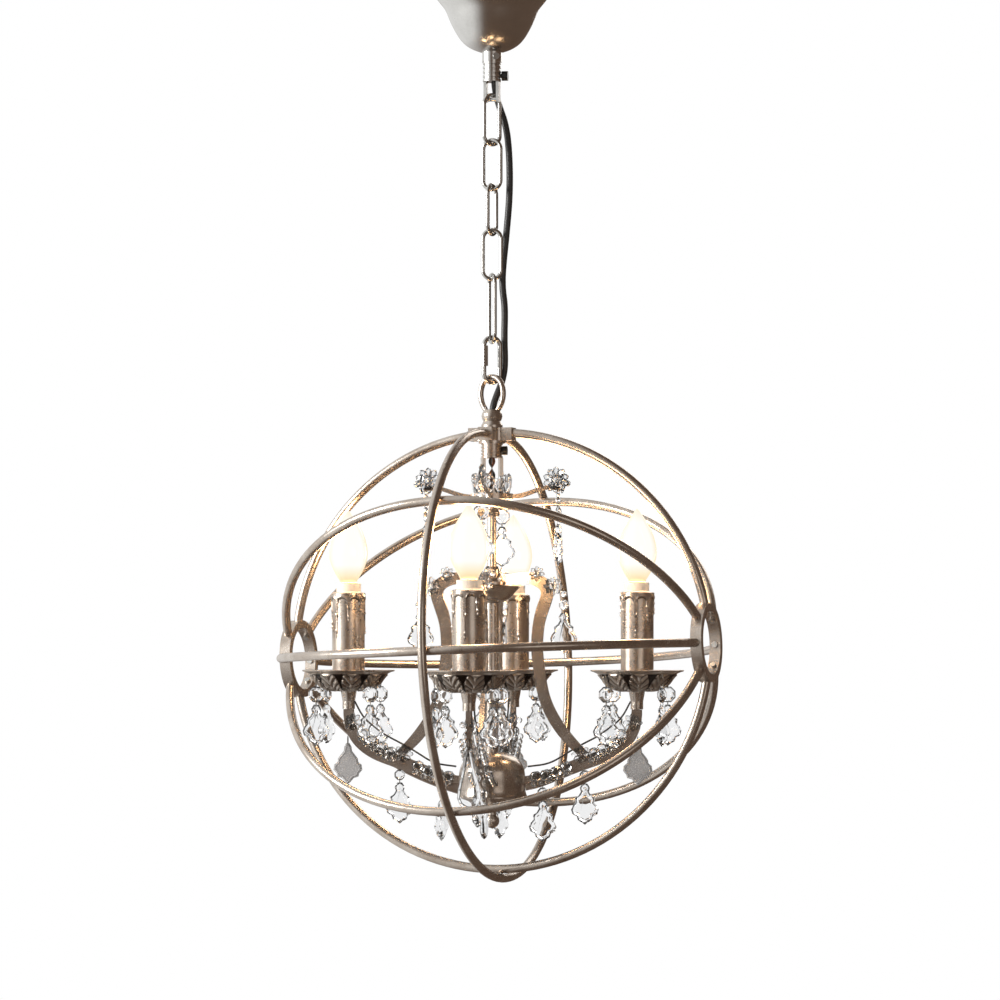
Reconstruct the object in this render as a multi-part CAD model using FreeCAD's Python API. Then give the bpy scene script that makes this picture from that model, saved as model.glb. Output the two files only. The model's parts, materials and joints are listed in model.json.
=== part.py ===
"""Orb chandelier on a chain: a cage of round rods about a small four-arm candle chandelier.

Millimetres. The origin is on the ceiling at the middle of the canopy and +Z is up. The four
candle arms lie along +X, +Y, -X and -Y, and the front of the object looks towards -Y.
Heights called *_up are measured from the middle of the orb.
"""

import FreeCAD
import Part
import math
import os

Vector = FreeCAD.Vector
ORIGIN = Vector(0, 0, 0)
AXIS_X = Vector(1, 0, 0)
AXIS_Y = Vector(0, 1, 0)
AXIS_Z = Vector(0, 0, 1)
FULL_TURN = 360
HALF_TURN = 180
QUARTER_TURN = 90

# ---------------------------------------------------------------- clearances
part_gap = 0.3          # between pieces that move on each other
fit_gap = 0.1           # between pieces that are screwed together
running_gap = 0.05      # between the nipple and the loop that turns on it

# ---------------------------------------------------------------- ceiling end
bracket_length = 88.0
bracket_width = 18.0
bracket_sheet = 2.5
bracket_drop = 9.0
bracket_slope = 0.5     # how far a bend runs inwards for each millimetre that it drops
bracket_foot = 19.0
slot_spacing = 70.0
slot_length = 11.0
slot_radius = 2.25

canopy_wall = 1.0
canopy_outline = (
    (58.5, 0.0),
    (52.5, -5.5),
    (47.0, -12.5),
    (42.0, -19.0),
    (38.0, -28.0),
    (32.6, -39.0),
    (25.0, -49.5),
    (16.5, -55.0),
    (9.0, -57.5),
)
nipple_radius = 5.0
nipple_bore = 3.4
nipple_flange_radius = 8.4

terminal_size = (30.0, 13.0, 12.0)
terminal_post_radius = 2.2
terminal_posts = 3
terminal_clearance = 1.0

collar_radius = 8.8
collar_height = 9.0
set_screw_radius = 1.8
set_screw_head_radius = 2.9
set_screw_head = 1.6
set_screw_length = 3.6

grip_radius = 8.2
grip_height = 17.5
grip_ridge_depth = 0.9
grip_ridges = 4
thumb_radius = 4.3
thumb_height = 5.5
thumb_up = 5.6          # above the bottom of the grip
thumb_shank_radius = 1.9

# ---------------------------------------------------------------- chain
link_wire = 3.6
link_width = 20.0
link_length = 47.8
last_link_length = 64.0
link_seam = 0.35
stirrup_leg_centre = 5.9
stirrup_leg = (2.6, 5.0)
stirrup_drop = 15.8     # from the grip to the middle of the bar
stirrup_pocket = 3.0
stirrup_yaw = -11.0
link_yaws = (41.0, -11.0, 71.0, 1.0, -63.0)
quick_wire = 4.2
quick_length = 44.5
quick_yaw = 34.0
quick_gap = 6.0
nut_radius = 4.0
nut_length = 18.0
nut_sides = 6

loop_wire = 5.0
loop_top_radius = 10.5
loop_side_radius = 21.5
loop_blend_angle = 25.0
loop_leg_angle = 46.0
loop_yaw = -21.0
loop_height = 48.0      # from the top of the loop to the bottom of its flange
loop_base_outline = (    # radius, height above the bottom of the flange
    (9.6, 0.0),
    (9.6, 2.2),
    (8.4, 4.4),
    (7.8, 5.6),
    (8.9, 7.9),
    (9.4, 10.3),
    (8.9, 12.6),
    (7.2, 15.9),
    (0.0, 17.3),
)
loop_funnel = (10.0, 19.6)   # where the cord's funnel starts and ends above the flange
base_thread_depth = 6.0

# ---------------------------------------------------------------- supply cord
cord_diameter = 6.0
cord_bore_radius = 3.3
cord_outlet = (1.5, 3.8)
cord_bend_share = 0.45
cord_route = (
    (1.5, 3.8, -76.0),
    (1.5, 3.9, -87.5),
    (3.8, 10.9, -102.0),
    (11.2, 11.4, -122.0),
    (14.2, 11.2, -148.0),
    (14.7, 10.6, -184.0),
    (11.5, 9.8, -222.0),
    (8.5, 9.4, -250.0),
    (7.9, 9.5, -268.0),
    (10.4, 10.1, -286.0),
    (9.6, 10.1, -314.0),
    (10.5, 10.1, -338.0),
    (8.2, 9.3, -352.0),
    (3.7, 5.6, -364.5),
    (0.3, 0.6, -376.5),
    (0.0, 0.0, -388.0),
)

# ---------------------------------------------------------------- cage
ring_radius = 195.3     # to the middle of the rod
rod_radius = 3.9
outer_ring_gap = 0.3
shoulder_angle = 45.0
front_tilts = (41.0, 45.7)      # how far its front half stands above level, and its back half below
back_tilts = (45.7, 45.7)       # how far its back half stands above level, and its front half below
equator_tilts = (-0.5, 2.6)
meridian_tilts = (90.0, 94.0)   # its upper half is upright, its lower half swings forwards
cage_yaw = -10.1
cage_lean = 2.14
cage_lean_heading = -21.4
hub_half = 20.5
hub_arm = 13.0
hub_height = 11.6
hub_core = 11.0
hub_notch = 5.5
hub_notch_place = 12.0
hub_socket = 10.0
medallion_radius = 35.0
medallion_bore = 28.0
medallion_width = 10.0
medallion_web = 2.0
medallion_screw_radius = 1.5
medallion_screw_head_radius = 2.6
medallion_screw_head = 1.7
medallion_screw_length = 9.0
joining_screw_radius = 1.4
joining_screw_cover = 0.8       # how deep its ends lie inside the rods

# ---------------------------------------------------------------- under the hub
washer_radius = 12.0
washer_height = 2.2
lower_grip_radius = 9.7
lower_grip_height = 13.0
lower_screw_radius = 4.0
lower_screw_height = 4.0
yoke_leg = (3.2, 8.0)
yoke_leg_centre = 8.0
crown_top_up = 141.17   # the bottom of the yoke, which stands on the crown
yoke_yaw = 20.0
yoke_base_radius = 11.0
yoke_base_height = 5.0
lead_radius = 1.2
lead_spread = 1.5

# ---------------------------------------------------------------- stem
stem_radius = 4.0
stem_bore = 2.6
cover_radius = 6.0
cover_top_up = 43.0
cup_wall = 1.4
cup_outline = ((11.0, 2.0), (15.5, 4.8), (20.5, 10.4), (25.0, 14.6))    # radius, height above the cover
flare_outline = (        # radius, height above the cup's floor
    (7.0, 0.0),
    (7.0, 13.1),
    (13.0, 15.1),
    (13.0, 17.6),
    (7.0, 21.1),
    (7.0, 28.6),
    (5.5, 31.6),
)
disc_drop = 17.1        # from the top of the crown to the middle of the disc
disc_outline = ((6.0, -3.5), (7.5, 0.0), (6.0, 3.5))        # radius, height above its middle
bell_top_up = -90.7
bell_wall = 1.5
bell_outline = (         # radius, height above the bell's top
    (16.0, -2.4),
    (25.0, -9.0),
    (28.9, -20.0),
    (28.9, -30.3),
    (30.7, -39.3),
)
saucer_outline = (       # radius, height above the bell's lip
    (28.0, 0.0),
    (28.0, -1.5),
    (14.0, -8.0),
    (10.0, -10.0),
    (6.0, -13.6),
)
finial_radius = 6.65
finial_neck_radius = 4.0
finial_neck_length = 2.0

# ---------------------------------------------------------------- arms
arm_count = 4
cage_room = 3.5         # between the pan hooks' circle and the cage, as low as the pan pendants hang
arm_root = 29.75        # where the arms start, in the wall of the bell
arm_thickness = 4.5
arm_outline = (          # share of the way from the bell to the candle, height, width of the bar
    (1.0, -52.0, 9.0),
    (0.9901, -63.0, 9.6),
    (0.9506, -74.5, 10.4),
    (0.7728, -90.5, 12.0),
    (0.5457, -99.5, 12.0),
    (0.2790, -110.0, 12.0),
    (0.0815, -117.0, 12.6),
    (0.0, -118.5, 13.0),
)
arm_stud_radius = 2.5
arm_stud_length = 6.0
arm_stud_up = -118.5
scroll_outline = (       # reach, height, width of the bar
    (9.0, 63.0, 8.0),
    (24.0, 65.0, 10.0),
    (39.5, 64.0, 11.0),
    (49.5, 56.0, 11.5),
    (47.5, 42.0, 11.0),
    (43.0, 27.0, 10.4),
    (41.2, 13.0, 10.2),
    (41.0, 0.0, 10.2),
    (43.0, -18.0, 10.0),
    (48.0, -43.0, 10.0),
)
scroll_foot = (          # share of the way from the bell to the candle, height, width
    (0.289, -65.0, 10.0),
    (0.40, -79.5, 9.4),
    (0.54, -93.0, 7.0),
)
scroll_thickness = 4.5
wire_radius = 0.8
wire_route = (           # share of the way from the bell to the candle, height
    (0.0222, -103.5),
    (0.2198, -101.0),
    (0.4568, -86.0),
    (0.6938, -74.0),
    (0.8617, -60.0),
)
wire_end = (6.0, -45.0)         # how far short of the candle's axis, height

# ---------------------------------------------------------------- candles
collar_outline = ((5.6, -52.0), (5.6, -45.0), (7.0, -37.5), (7.0, -34.6))    # radius, height
pan_wall = 1.6
pan_outline = (          # reach from the candle's axis, height
    (4.6, -34.2),
    (14.0, -34.0),
    (23.0, -31.5),
    (30.5, -25.5),
    (33.5, -21.0),
    (41.0, -17.4),
)
sleeve_radius = 15.0
sleeve_bore = 13.2
sleeve_top_up = 52.0
drip_radius = 2.4
drip_sink = 0.9          # how far a drip's middle lies inside the sleeve's face
drip_lengths = (9.0, 24.0, 13.0, 30.0, 8.0, 19.0, 27.0, 12.0)
holder_nipple_radius = 4.2
holder_body_up = -8.0
holder_shoulder = 4.0
holder_step = 1.5
holder_radius = 12.7
holder_neck_radius = 11.0
holder_top_up = 61.0
lamp_cap_radius = 7.0
lamp_cap_length = 22.0
lamp_outline = (         # radius, height above the holder
    (7.6, 0.6),
    (9.4, 4.0),
    (14.6, 14.0),
    (17.5, 26.0),
    (15.8, 39.0),
    (10.4, 52.0),
    (5.4, 60.0),
    (2.2, 64.6),
)
lamp_height = 67.0

# ---------------------------------------------------------------- crown
crown_disc_radius = 19.0
crown_disc_height = 5.0
crown_arm_outline = (    # reach, height above the crown's top, width of the bar
    (18.0, -2.6, 4.0),
    (32.0, -0.1, 4.0),
    (48.0, 4.9, 3.6),
    (62.0, 3.9, 3.2),
)
crown_arm_thickness = 3.0
crown_crystals = 10
crown_crystal_circle = 15.0
crown_crystal_outline = ((1.8, 0.0), (3.6, 9.0), (0.0, 17.5))    # radius, height above the disc
crown_rosette = (57.0, 12.5, 12.4)       # reach, height above the crown's top, radius

# ---------------------------------------------------------------- crystals
pin_radius = 0.6
pin_gap = 0.1
bead_radius = 3.2
big_bead_radius = 4.4
rosette_depth = 5.0
rosette_outline = ((0.0, 0.0), (0.6, 0.0), (1.0, 0.4), (0.5, 1.0), (0.0, 1.0))  # shares
octagon_width = 14.0
octagon_depth = 6.0
octagon_flat = 0.41
small_octagon_width = 11.0
short_pin = 3.0
long_pin = 4.0
pendant_depth = 8.0
pendant_width = 26.0
pendant_height = 38.0
pendant_scallops = (     # share of the half width, share of the height from the top
    (0.10, 0.00),
    (0.30, 0.10),
    (0.36, 0.24),
    (0.72, 0.38),
    (0.74, 0.50),
    (1.00, 0.62),
    (0.82, 0.76),
    (0.50, 0.84),
    (0.34, 0.94),
    (0.05, 1.00),
)
pendant_facet = 0.62     # share of the outline that the flat table keeps
pendant_middle = 0.58    # how far down the table's middle lies
drop_scallops = (
    (0.12, 0.00),
    (0.40, 0.16),
    (0.62, 0.42),
    (1.00, 0.74),
    (0.80, 0.92),
    (0.20, 1.00),
)
icicle_width = 13.0
icicle_height = 30.0
icicle_depth = 6.4
pan_hook_reach = 35.0
pan_hooks = ((45, 0), (135, 15), (225, -10), (315, 65))  # place round the pan, way the glass faces
pan_hook_length = 13.0
pan_pendant_size = (25.0, 36.0)
tip_beyond = 0.5         # how far the tip pendants hang outside the candle's axis
tip_top_up = -77.8
tip_pin = 3.0
tip_pendant_size = (28.0, 38.0)
tip_rosette = (0.9704, -66.0, 8.0)       # share of the way to the candle, height, radius
mid_rosette = (0.4963, -99.0, 9.0)
mid_pendant_top = (0.4963, -108.3)       # share of the way to the candle, height
outer_beads = ((0.9012, -80.0), (0.5951, -97.0))
outer_beads_sag = 1.5
inner_beads = ((0.4074, -104.5), (0.0617, -117.5))
shoulder_pendant_top = (56.7, 50.0)      # reach, height
shoulder_pin = 5.0
shoulder_pendant_size = (20.0, 32.0)
crown_pendant_size = (24.0, 34.0)
crown_pendant_inset = 2.0

# ---------------------------------------------------------------- heights that follow
canopy_bottom_z = canopy_outline[-1][1] - canopy_wall / 2
collar_bottom_z = canopy_bottom_z - collar_height
grip_bottom_z = collar_bottom_z - grip_height
stirrup_bar_z = grip_bottom_z - stirrup_drop


def next_top(bow_z, wire_below, wire_above):
    """The outer top of the link that hangs on a bow whose middle is at bow_z."""
    return bow_z + wire_above / 2 + wire_below + part_gap


link_lengths = (link_length,) * (len(link_yaws) - 1) + (last_link_length,)
link_tops = []
bow_z, bow_wire = stirrup_bar_z, link_wire
for length in link_lengths:
    link_tops.append(next_top(bow_z, link_wire, bow_wire))
    bow_z, bow_wire = link_tops[-1] - length + link_wire / 2, link_wire
quick_top_z = next_top(bow_z, quick_wire, bow_wire)
quick_bow_z = quick_top_z - quick_length + quick_wire / 2
loop_top_z = next_top(quick_bow_z, loop_wire, quick_wire)
flange_bottom_z = loop_top_z - loop_height
hub_top_z = flange_bottom_z - part_gap
hub_middle_z = hub_top_z - hub_height / 2
rod_end_up = math.sqrt(ring_radius**2 - hub_half**2)
orb_z = hub_middle_z - rod_end_up

pan_hook_up = pan_outline[-2][1] - pan_wall / 2 - part_gap
pan_drop_up = (pan_hook_up - pan_hook_length - octagon_width - long_pin - pan_pendant_size[1]
               - 3 * pin_gap)
arm_reach = math.sqrt((ring_radius - rod_radius) ** 2 - pan_drop_up**2) - pan_hook_reach - cage_room


def arm_place(share):
    """The reach at a share of the way from the bell to the candle's axis."""
    return arm_root + share * (arm_reach - arm_root)


def along_arm(points):
    """Points along the arm, whose first value is a share of the way, with their reach instead."""
    return [(arm_place(point[0]),) + tuple(point[1:]) for point in points]


# ---------------------------------------------------------------- shape helpers


def box(size, low):
    """A box from its size and its lowest corner."""
    return Part.makeBox(size[0], size[1], size[2], Vector(*low))


def cylinder(radius, low_z, high_z, x=0.0, y=0.0):
    """An upright cylinder."""
    return Part.makeCylinder(radius, high_z - low_z, Vector(x, y, low_z))


def rod(radius, start, end):
    """A straight rod between two points."""
    way = Vector(*end) - Vector(*start)
    return Part.makeCylinder(radius, way.Length, Vector(*start), way)


def tube(outer, inner, low_z, high_z, x=0.0, y=0.0):
    """An upright tube."""
    return cylinder(outer, low_z, high_z, x, y).cut(cylinder(inner, low_z, high_z, x, y))


def lathe(profile):
    """A solid turned about Z from a closed outline of (radius, z) points."""
    points = [Vector(r, 0, z) for r, z in profile]
    return Part.Face(Part.makePolygon(points + points[:1])).revolve(ORIGIN, AXIS_Z, FULL_TURN)


def smooth_edge(points):
    """One smooth edge through (x, z) points."""
    curve = Part.BSplineCurve()
    curve.interpolate([Vector(x, 0, z) for x, z in points])
    return curve.toShape()


def side_points(outline, side):
    """The points half a width to one side of an outline of (x, z, width) points."""
    found = []
    last = len(outline) - 1
    for i, (x, z, width) in enumerate(outline):
        before, after = outline[max(i - 1, 0)], outline[min(i + 1, last)]
        dx, dz = after[0] - before[0], after[1] - before[1]
        run = math.hypot(dx, dz)
        found.append((x - side * dz / run * width / 2, z + side * dx / run * width / 2))
    return found


def ribbon_face(outline):
    """A flat face about a smooth line, as wide at each point as the outline says."""
    left, right = side_points(outline, 1), side_points(outline, -1)
    first = Part.makeLine(Vector(right[0][0], 0, right[0][1]), Vector(left[0][0], 0, left[0][1]))
    last = Part.makeLine(Vector(left[-1][0], 0, left[-1][1]), Vector(right[-1][0], 0, right[-1][1]))
    edges = [first, smooth_edge(left), last, smooth_edge(right)]
    return Part.Face(Part.Wire(Part.__sortEdges__(edges)))


def bar(outline, thickness):
    """A flat bar that stands on edge in the XZ plane."""
    face = ribbon_face(outline)
    face.translate(Vector(0, -thickness / 2, 0))
    return face.extrude(Vector(0, thickness, 0))


def spun(outline, wall):
    """A spun sheet: a wall of even thickness about a smooth (radius, z) line."""
    return ribbon_face([(r, z, wall) for r, z in outline]).revolve(ORIGIN, AXIS_Z, FULL_TURN)


def arc_rod(radius, wire, start, end, centre=(0.0, 0.0)):
    """A round rod bent to an arc in the XZ plane, from start to end degrees, +X towards +Z."""
    angle = math.radians(start)
    middle = Vector(centre[0], 0, centre[1])
    place = middle + Vector(radius * math.cos(angle), 0, radius * math.sin(angle))
    along = Vector(-math.sin(angle), 0, math.cos(angle))
    face = Part.Face(Part.Wire(Part.makeCircle(wire, place, along)))
    return face.revolve(middle, -AXIS_Y, end - start)


def fused(shapes):
    """One solid out of pieces that meet or overlap."""
    return shapes[0].multiFuse(shapes[1:]).removeSplitter()


def cut_all(shape, tools):
    """The shape less each of the tools."""
    return shape.cut(Part.makeCompound(tools))


def turned(shape, yaw):
    """A copy turned about Z."""
    return shape.rotated(ORIGIN, AXIS_Z, yaw)


def raised(shape, height):
    """A copy moved up to a height above the middle of the orb."""
    return shape.translated(Vector(0, 0, orb_z + height))


def four(shape):
    """The shape once on each arm."""
    return [turned(shape, FULL_TURN / arm_count * i) for i in range(arm_count)]


def bent_tube(points, radius, bend_share):
    """A tube along straight runs joined by tangent arcs, and the radius of each arc."""
    points = [Vector(*p) for p in points]
    edges, radii, start = [], [], points[0]
    for before, corner, after in zip(points, points[1:], points[2:]):
        way_in, way_out = (corner - before).normalize(), (after - corner).normalize()
        trim = bend_share * min((corner - before).Length, (after - corner).Length)
        turn = way_in.getAngle(way_out)
        radii.append(trim / math.tan(turn / 2))
        arc_start, arc_end = corner - way_in * trim, corner + way_out * trim
        inward = (way_out - way_in).normalize()
        sag = radii[-1] * (1 / math.cos(turn / 2) - 1)
        edges.append(Part.LineSegment(start, arc_start).toShape())
        edges.append(Part.Arc(arc_start, corner + inward * sag, arc_end).toShape())
        start = arc_end
    edges.append(Part.LineSegment(start, points[-1]).toShape())
    path = Part.Wire(edges)
    ring = Part.Wire(Part.makeCircle(radius, points[0], points[1] - points[0]))
    solid = path.makePipeShell([ring], True, False)
    print(
        "tube: length %.1f, tightest arc %.1f, volume share %.4f"
        % (path.Length, min(radii), solid.Volume / (math.pi * radius**2 * path.Length))
    )
    return solid


nodes = {}


def keep(name, *shapes):
    """Stores a node's solids under its name."""
    solids = [s for shape in shapes for s in (shape if isinstance(shape, list) else [shape])]
    nodes[name] = solids[0] if len(solids) == 1 else Part.makeCompound(solids)


# ---------------------------------------------------------------- ceiling end


def ceiling_bracket():
    """A strap with two slotted feet on the ceiling and a lowered middle for the nipple."""
    half, inner, low = bracket_length / 2, bracket_length / 2 - bracket_foot, -bracket_drop
    bend = bracket_drop * bracket_slope
    under = bracket_sheet * (math.hypot(1, bracket_slope) - bracket_slope)
    right = [(inner - bend, low), (inner, 0), (half, 0), (half, -bracket_sheet),
             (inner + under, -bracket_sheet), (inner - bend + under, low - bracket_sheet)]
    outline = right + [(-x, z) for x, z in reversed(right)]
    points = [Vector(x, -bracket_width / 2, z) for x, z in outline]
    strap = Part.Face(Part.makePolygon(points + points[:1])).extrude(Vector(0, bracket_width, 0))
    tools = [cylinder(nipple_radius + fit_gap, low - 2 * bracket_sheet, 0)]
    flat = slot_length / 2 - slot_radius
    for side in (-1, 1):
        middle = side * slot_spacing / 2
        ends = [cylinder(slot_radius, -2 * bracket_sheet, bracket_sheet, middle + end)
                for end in (-flat, flat)]
        tools.append(fused(ends + [box((2 * flat, 2 * slot_radius, 3 * bracket_sheet),
                                       (middle - flat, -slot_radius, -2 * bracket_sheet))]))
    return cut_all(strap, tools)


def bracket_nipple():
    """The threaded tube that carries the load from the strap down to the cord grip."""
    top = -bracket_drop + bracket_sheet
    flange = tube(nipple_flange_radius, nipple_bore, -bracket_drop + fit_gap, top)
    return fused([tube(nipple_radius, nipple_bore, collar_bottom_z, top), flange])


def terminal_block():
    """The mains terminal block, which sits under the strap beside the nipple."""
    length, width, height = terminal_size
    top = -bracket_drop - bracket_sheet
    low = (-length / 2, -bracket_width / 2 - width, top - height)
    shelf_depth = bracket_width / 2 - nipple_radius - terminal_clearance
    shelf = box((length, shelf_depth, bracket_sheet),
                (-length / 2, -bracket_width / 2, top - bracket_sheet))
    body = box((length, width, height), low).fuse(shelf)
    holes = []
    for i in range(terminal_posts):
        x = (i - (terminal_posts - 1) / 2) * length / terminal_posts
        y = -bracket_width / 2 - width / 2
        holes.append(cylinder(terminal_post_radius, top - height, top - height / 2, x, y))
    return cut_all(body.removeSplitter(), holes)


def canopy():
    """The spun bell that hides the bracket, with a hole for the nipple at its bottom."""
    return spun(canopy_outline, canopy_wall)


def canopy_floor():
    """The flat ring at the bottom of the bell that the collar presses on."""
    return tube(canopy_outline[-1][0], nipple_radius + fit_gap,
                canopy_bottom_z, canopy_bottom_z + canopy_wall)


def set_screw(height, radius, heading):
    """A cross-head screw that stands in from a round face, and the hole for it."""
    face = radius + set_screw_head / 4
    screw = rod(set_screw_head_radius, (face, 0, height), (face + set_screw_head, 0, height)).fuse(
        rod(set_screw_radius, (face - set_screw_length, 0, height), (face, 0, height)))
    hole = rod(set_screw_radius + fit_gap, (nipple_radius, 0, height), (2 * radius, 0, height))
    return turned(screw.removeSplitter(), heading), turned(hole, heading)


def ridged(radius, bore, low_z, high_z):
    """A turned grip with even ridges round it."""
    pitch = (high_z - low_z) / (2 * grip_ridges + 1)
    profile = [(bore, low_z), (radius, low_z)]
    for i in range(grip_ridges):
        z = low_z + pitch * (2 * i + 1)
        profile += [(radius, z), (radius - grip_ridge_depth, z + pitch / 4),
                    (radius - grip_ridge_depth, z + pitch * 3 / 4), (radius, z + pitch)]
    profile += [(radius, high_z), (bore, high_z)]
    return lathe(profile)


def thumb_screw():
    """The black screw that clamps the cord in the upper grip."""
    z = grip_bottom_z + thumb_up
    start = cord_outlet[0] + cord_diameter / 2 + part_gap
    face = grip_radius + part_gap
    y = cord_outlet[1]
    head = rod(thumb_radius, (face, y, z), (face + thumb_height, y, z))
    return head.fuse(rod(thumb_shank_radius, (start, y, z), (face, y, z))).removeSplitter()


def ceiling_end():
    """The strap, nipple, terminal block, canopy, collar and upper cord grip."""
    keep("ceiling_bracket", ceiling_bracket())
    keep("bracket_nipple", bracket_nipple())
    keep("terminal_block", terminal_block())
    keep("canopy", fused([canopy(), canopy_floor()]))
    screw, hole = set_screw(canopy_bottom_z - collar_height / 2, collar_radius, -2 * QUARTER_TURN / 3)
    keep("canopy_collar", tube(collar_radius, nipple_radius + fit_gap, collar_bottom_z,
                               canopy_bottom_z).cut(hole))
    keep("collar_screw", screw)
    keep("top_thumb_screw", thumb_screw())

    pockets = [stirrup_leg_box(side, fit_gap) for side in (-1, 1)]
    pockets = [turned(p, stirrup_yaw) for p in pockets]
    bore = cylinder(cord_bore_radius, grip_bottom_z, collar_bottom_z, *cord_outlet)
    z = grip_bottom_z + thumb_up
    screw_hole = rod(thumb_shank_radius + part_gap, (0, cord_outlet[1], z),
                     (2 * grip_radius, cord_outlet[1], z))
    seat = box((2 * grip_radius, 2 * grip_radius, 2 * (thumb_radius + part_gap)),
               (grip_radius, -grip_radius, z - thumb_radius - part_gap))
    grip = ridged(grip_radius, 0, grip_bottom_z, collar_bottom_z)
    keep("top_cord_grip", cut_all(grip, pockets + [bore, screw_hole, seat]))


def stirrup_leg_box(side, gap):
    """One leg of the stirrup, from its pocket in the grip to just under the bar."""
    width, depth = stirrup_leg
    low = stirrup_bar_z - link_wire * 2 / 3
    top = grip_bottom_z + stirrup_pocket + gap
    x = side * stirrup_leg_centre - width / 2
    return box((width + 2 * gap, depth + 2 * gap, top - low), (x - gap, -depth / 2 - gap, low))


def chain_stirrup():
    """Two legs from the grip and the bar between them that the first link hangs on."""
    legs = [stirrup_leg_box(side, 0) for side in (-1, 1)]
    reach = stirrup_leg_centre
    return fused(legs + [rod(link_wire / 2, (-reach, 0, stirrup_bar_z), (reach, 0, stirrup_bar_z))])


# ---------------------------------------------------------------- chain


def oval(width, length, wire, top_z):
    """An upright oval link of round wire in the XZ plane, cut into its four stretches."""
    bend = (width - wire) / 2
    high, low = top_z - width / 2, top_z - length + width / 2
    top = arc_rod(bend, wire / 2, 0, HALF_TURN, (0, high))
    bottom = arc_rod(bend, wire / 2, HALF_TURN, FULL_TURN, (0, low))
    sides = [rod(wire / 2, (side * bend, 0, low), (side * bend, 0, high)) for side in (-1, 1)]
    return [top, bottom] + sides


def chain_link(index):
    """One link of the chain, with the open seam of its bent wire half way down one side."""
    top, length = link_tops[index], link_lengths[index]
    link = fused(oval(link_width, length, link_wire, top))
    seam = box((link_wire * 2, link_wire * 2, link_seam),
               (-link_width / 2 - link_wire / 2, -link_wire, top - length / 2))
    return turned(link.cut(seam), link_yaws[index])


def quick_link():
    """The oval link with a gap in one side that its screw sleeve closes."""
    link = fused(oval(link_width, quick_length, quick_wire, quick_top_z))
    gap_top = quick_nut_top() - part_gap
    gap = box((2 * quick_wire, 2 * quick_wire, quick_gap),
              (-link_width / 2 - quick_wire / 2, -quick_wire, gap_top - quick_gap))
    return turned(link.cut(gap), quick_yaw)


def quick_nut_top():
    """The top of the screw sleeve, just under the bend of the link."""
    return quick_top_z - link_width / 2 + part_gap


def quick_link_nut():
    """The six-sided screw sleeve of the quick link."""
    x = -(link_width - quick_wire) / 2
    top = quick_nut_top()
    corners = [
        Vector(x + nut_radius * math.cos(math.radians(FULL_TURN / nut_sides * i)),
               nut_radius * math.sin(math.radians(FULL_TURN / nut_sides * i)), top - nut_length)
        for i in range(nut_sides + 1)
    ]
    sleeve = Part.Face(Part.makePolygon(corners)).extrude(Vector(0, 0, nut_length))
    bore = cylinder(quick_wire / 2 + part_gap, top - nut_length, top, x)
    return turned(sleeve.cut(bore), quick_yaw)


def hanging_loop():
    """The egg-shaped loop and its turned base, which the nipple screws into."""
    wire = loop_wire / 2
    centre_z = loop_top_z - wire - loop_top_radius
    blend = math.radians(loop_blend_angle)
    shift = loop_side_radius - loop_top_radius
    side_centre = (-shift * math.cos(blend), centre_z - shift * math.sin(blend))
    pieces = [arc_rod(loop_top_radius, wire, loop_blend_angle, HALF_TURN - loop_blend_angle,
                      (0, centre_z))]
    right = arc_rod(loop_side_radius, wire, -loop_leg_angle, loop_blend_angle, side_centre)
    pieces += [right, turned(right, HALF_TURN)]
    bottom = flange_bottom_z
    base = lathe([(0, bottom)] + [(r, bottom + up) for r, up in loop_base_outline])
    low, high = bottom + loop_funnel[0], bottom + loop_funnel[1]
    funnel = lathe([(0, low), (cord_bore_radius, low), (2 * cord_bore_radius, high), (0, high)])
    bores = [cylinder(nipple_radius + running_gap, bottom, bottom + base_thread_depth),
             cylinder(cord_bore_radius, bottom, high), funnel]
    return turned(cut_all(fused(pieces + [base]), bores), loop_yaw)


def chain():
    """Everything between the ceiling and the hub."""
    keep("chain_stirrup", turned(chain_stirrup(), stirrup_yaw))
    for index in range(len(link_yaws)):
        keep("chain_link_%d" % (index + 1), chain_link(index))
    keep("quick_link", quick_link())
    keep("quick_link_nut", quick_link_nut())
    keep("hanging_loop", hanging_loop())
    keep("supply_cord", bent_tube(cord_route, cord_diameter / 2, cord_bend_share))


# ---------------------------------------------------------------- cage


def leaned(shape):
    """A copy of a cage piece, made about the orb's middle, turned and leaned about the hub."""
    heading = math.radians(cage_lean_heading)
    axis = Vector(math.sin(heading), -math.cos(heading), 0)
    return raised(turned(shape, cage_yaw), 0).rotated(Vector(0, 0, hub_middle_z), axis, cage_lean)


def tilted(shape, elevation):
    """A copy of an upright ring laid back about X until its upper half stands at an elevation."""
    return shape.rotated(ORIGIN, AXIS_X, QUARTER_TURN - elevation)


def rod_end_angle():
    """Where on a ring its rod ends, inside the medallion's wall."""
    return math.degrees(math.asin((medallion_bore + medallion_web) / ring_radius))


def half_rings(tilts):
    """The two halves of a ring that runs from medallion to medallion, each at its own tilt."""
    end = rod_end_angle()
    halves = [arc_rod(ring_radius, rod_radius, start + end, start + HALF_TURN - end)
              for start in (0, HALF_TURN)]
    return [tilted(half, tilt) for half, tilt in zip(halves, tilts)]


def from_behind(tilts):
    """Tilts of a ring that stands up at the back, measured from the front as the others are."""
    return [HALF_TURN - tilt for tilt in tilts]


def meridian_pieces():
    """The upright ring through the hub: two upper quarters and the lower half."""
    end = rod_end_angle()
    top = math.degrees(math.acos((hub_half - hub_socket) / ring_radius))
    lower = arc_rod(ring_radius, rod_radius, HALF_TURN + end, FULL_TURN - end)
    return [arc_rod(ring_radius, rod_radius, end, top),
            arc_rod(ring_radius, rod_radius, HALF_TURN - top, HALF_TURN - end),
            tilted(lower, meridian_tilts[1])]


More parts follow.
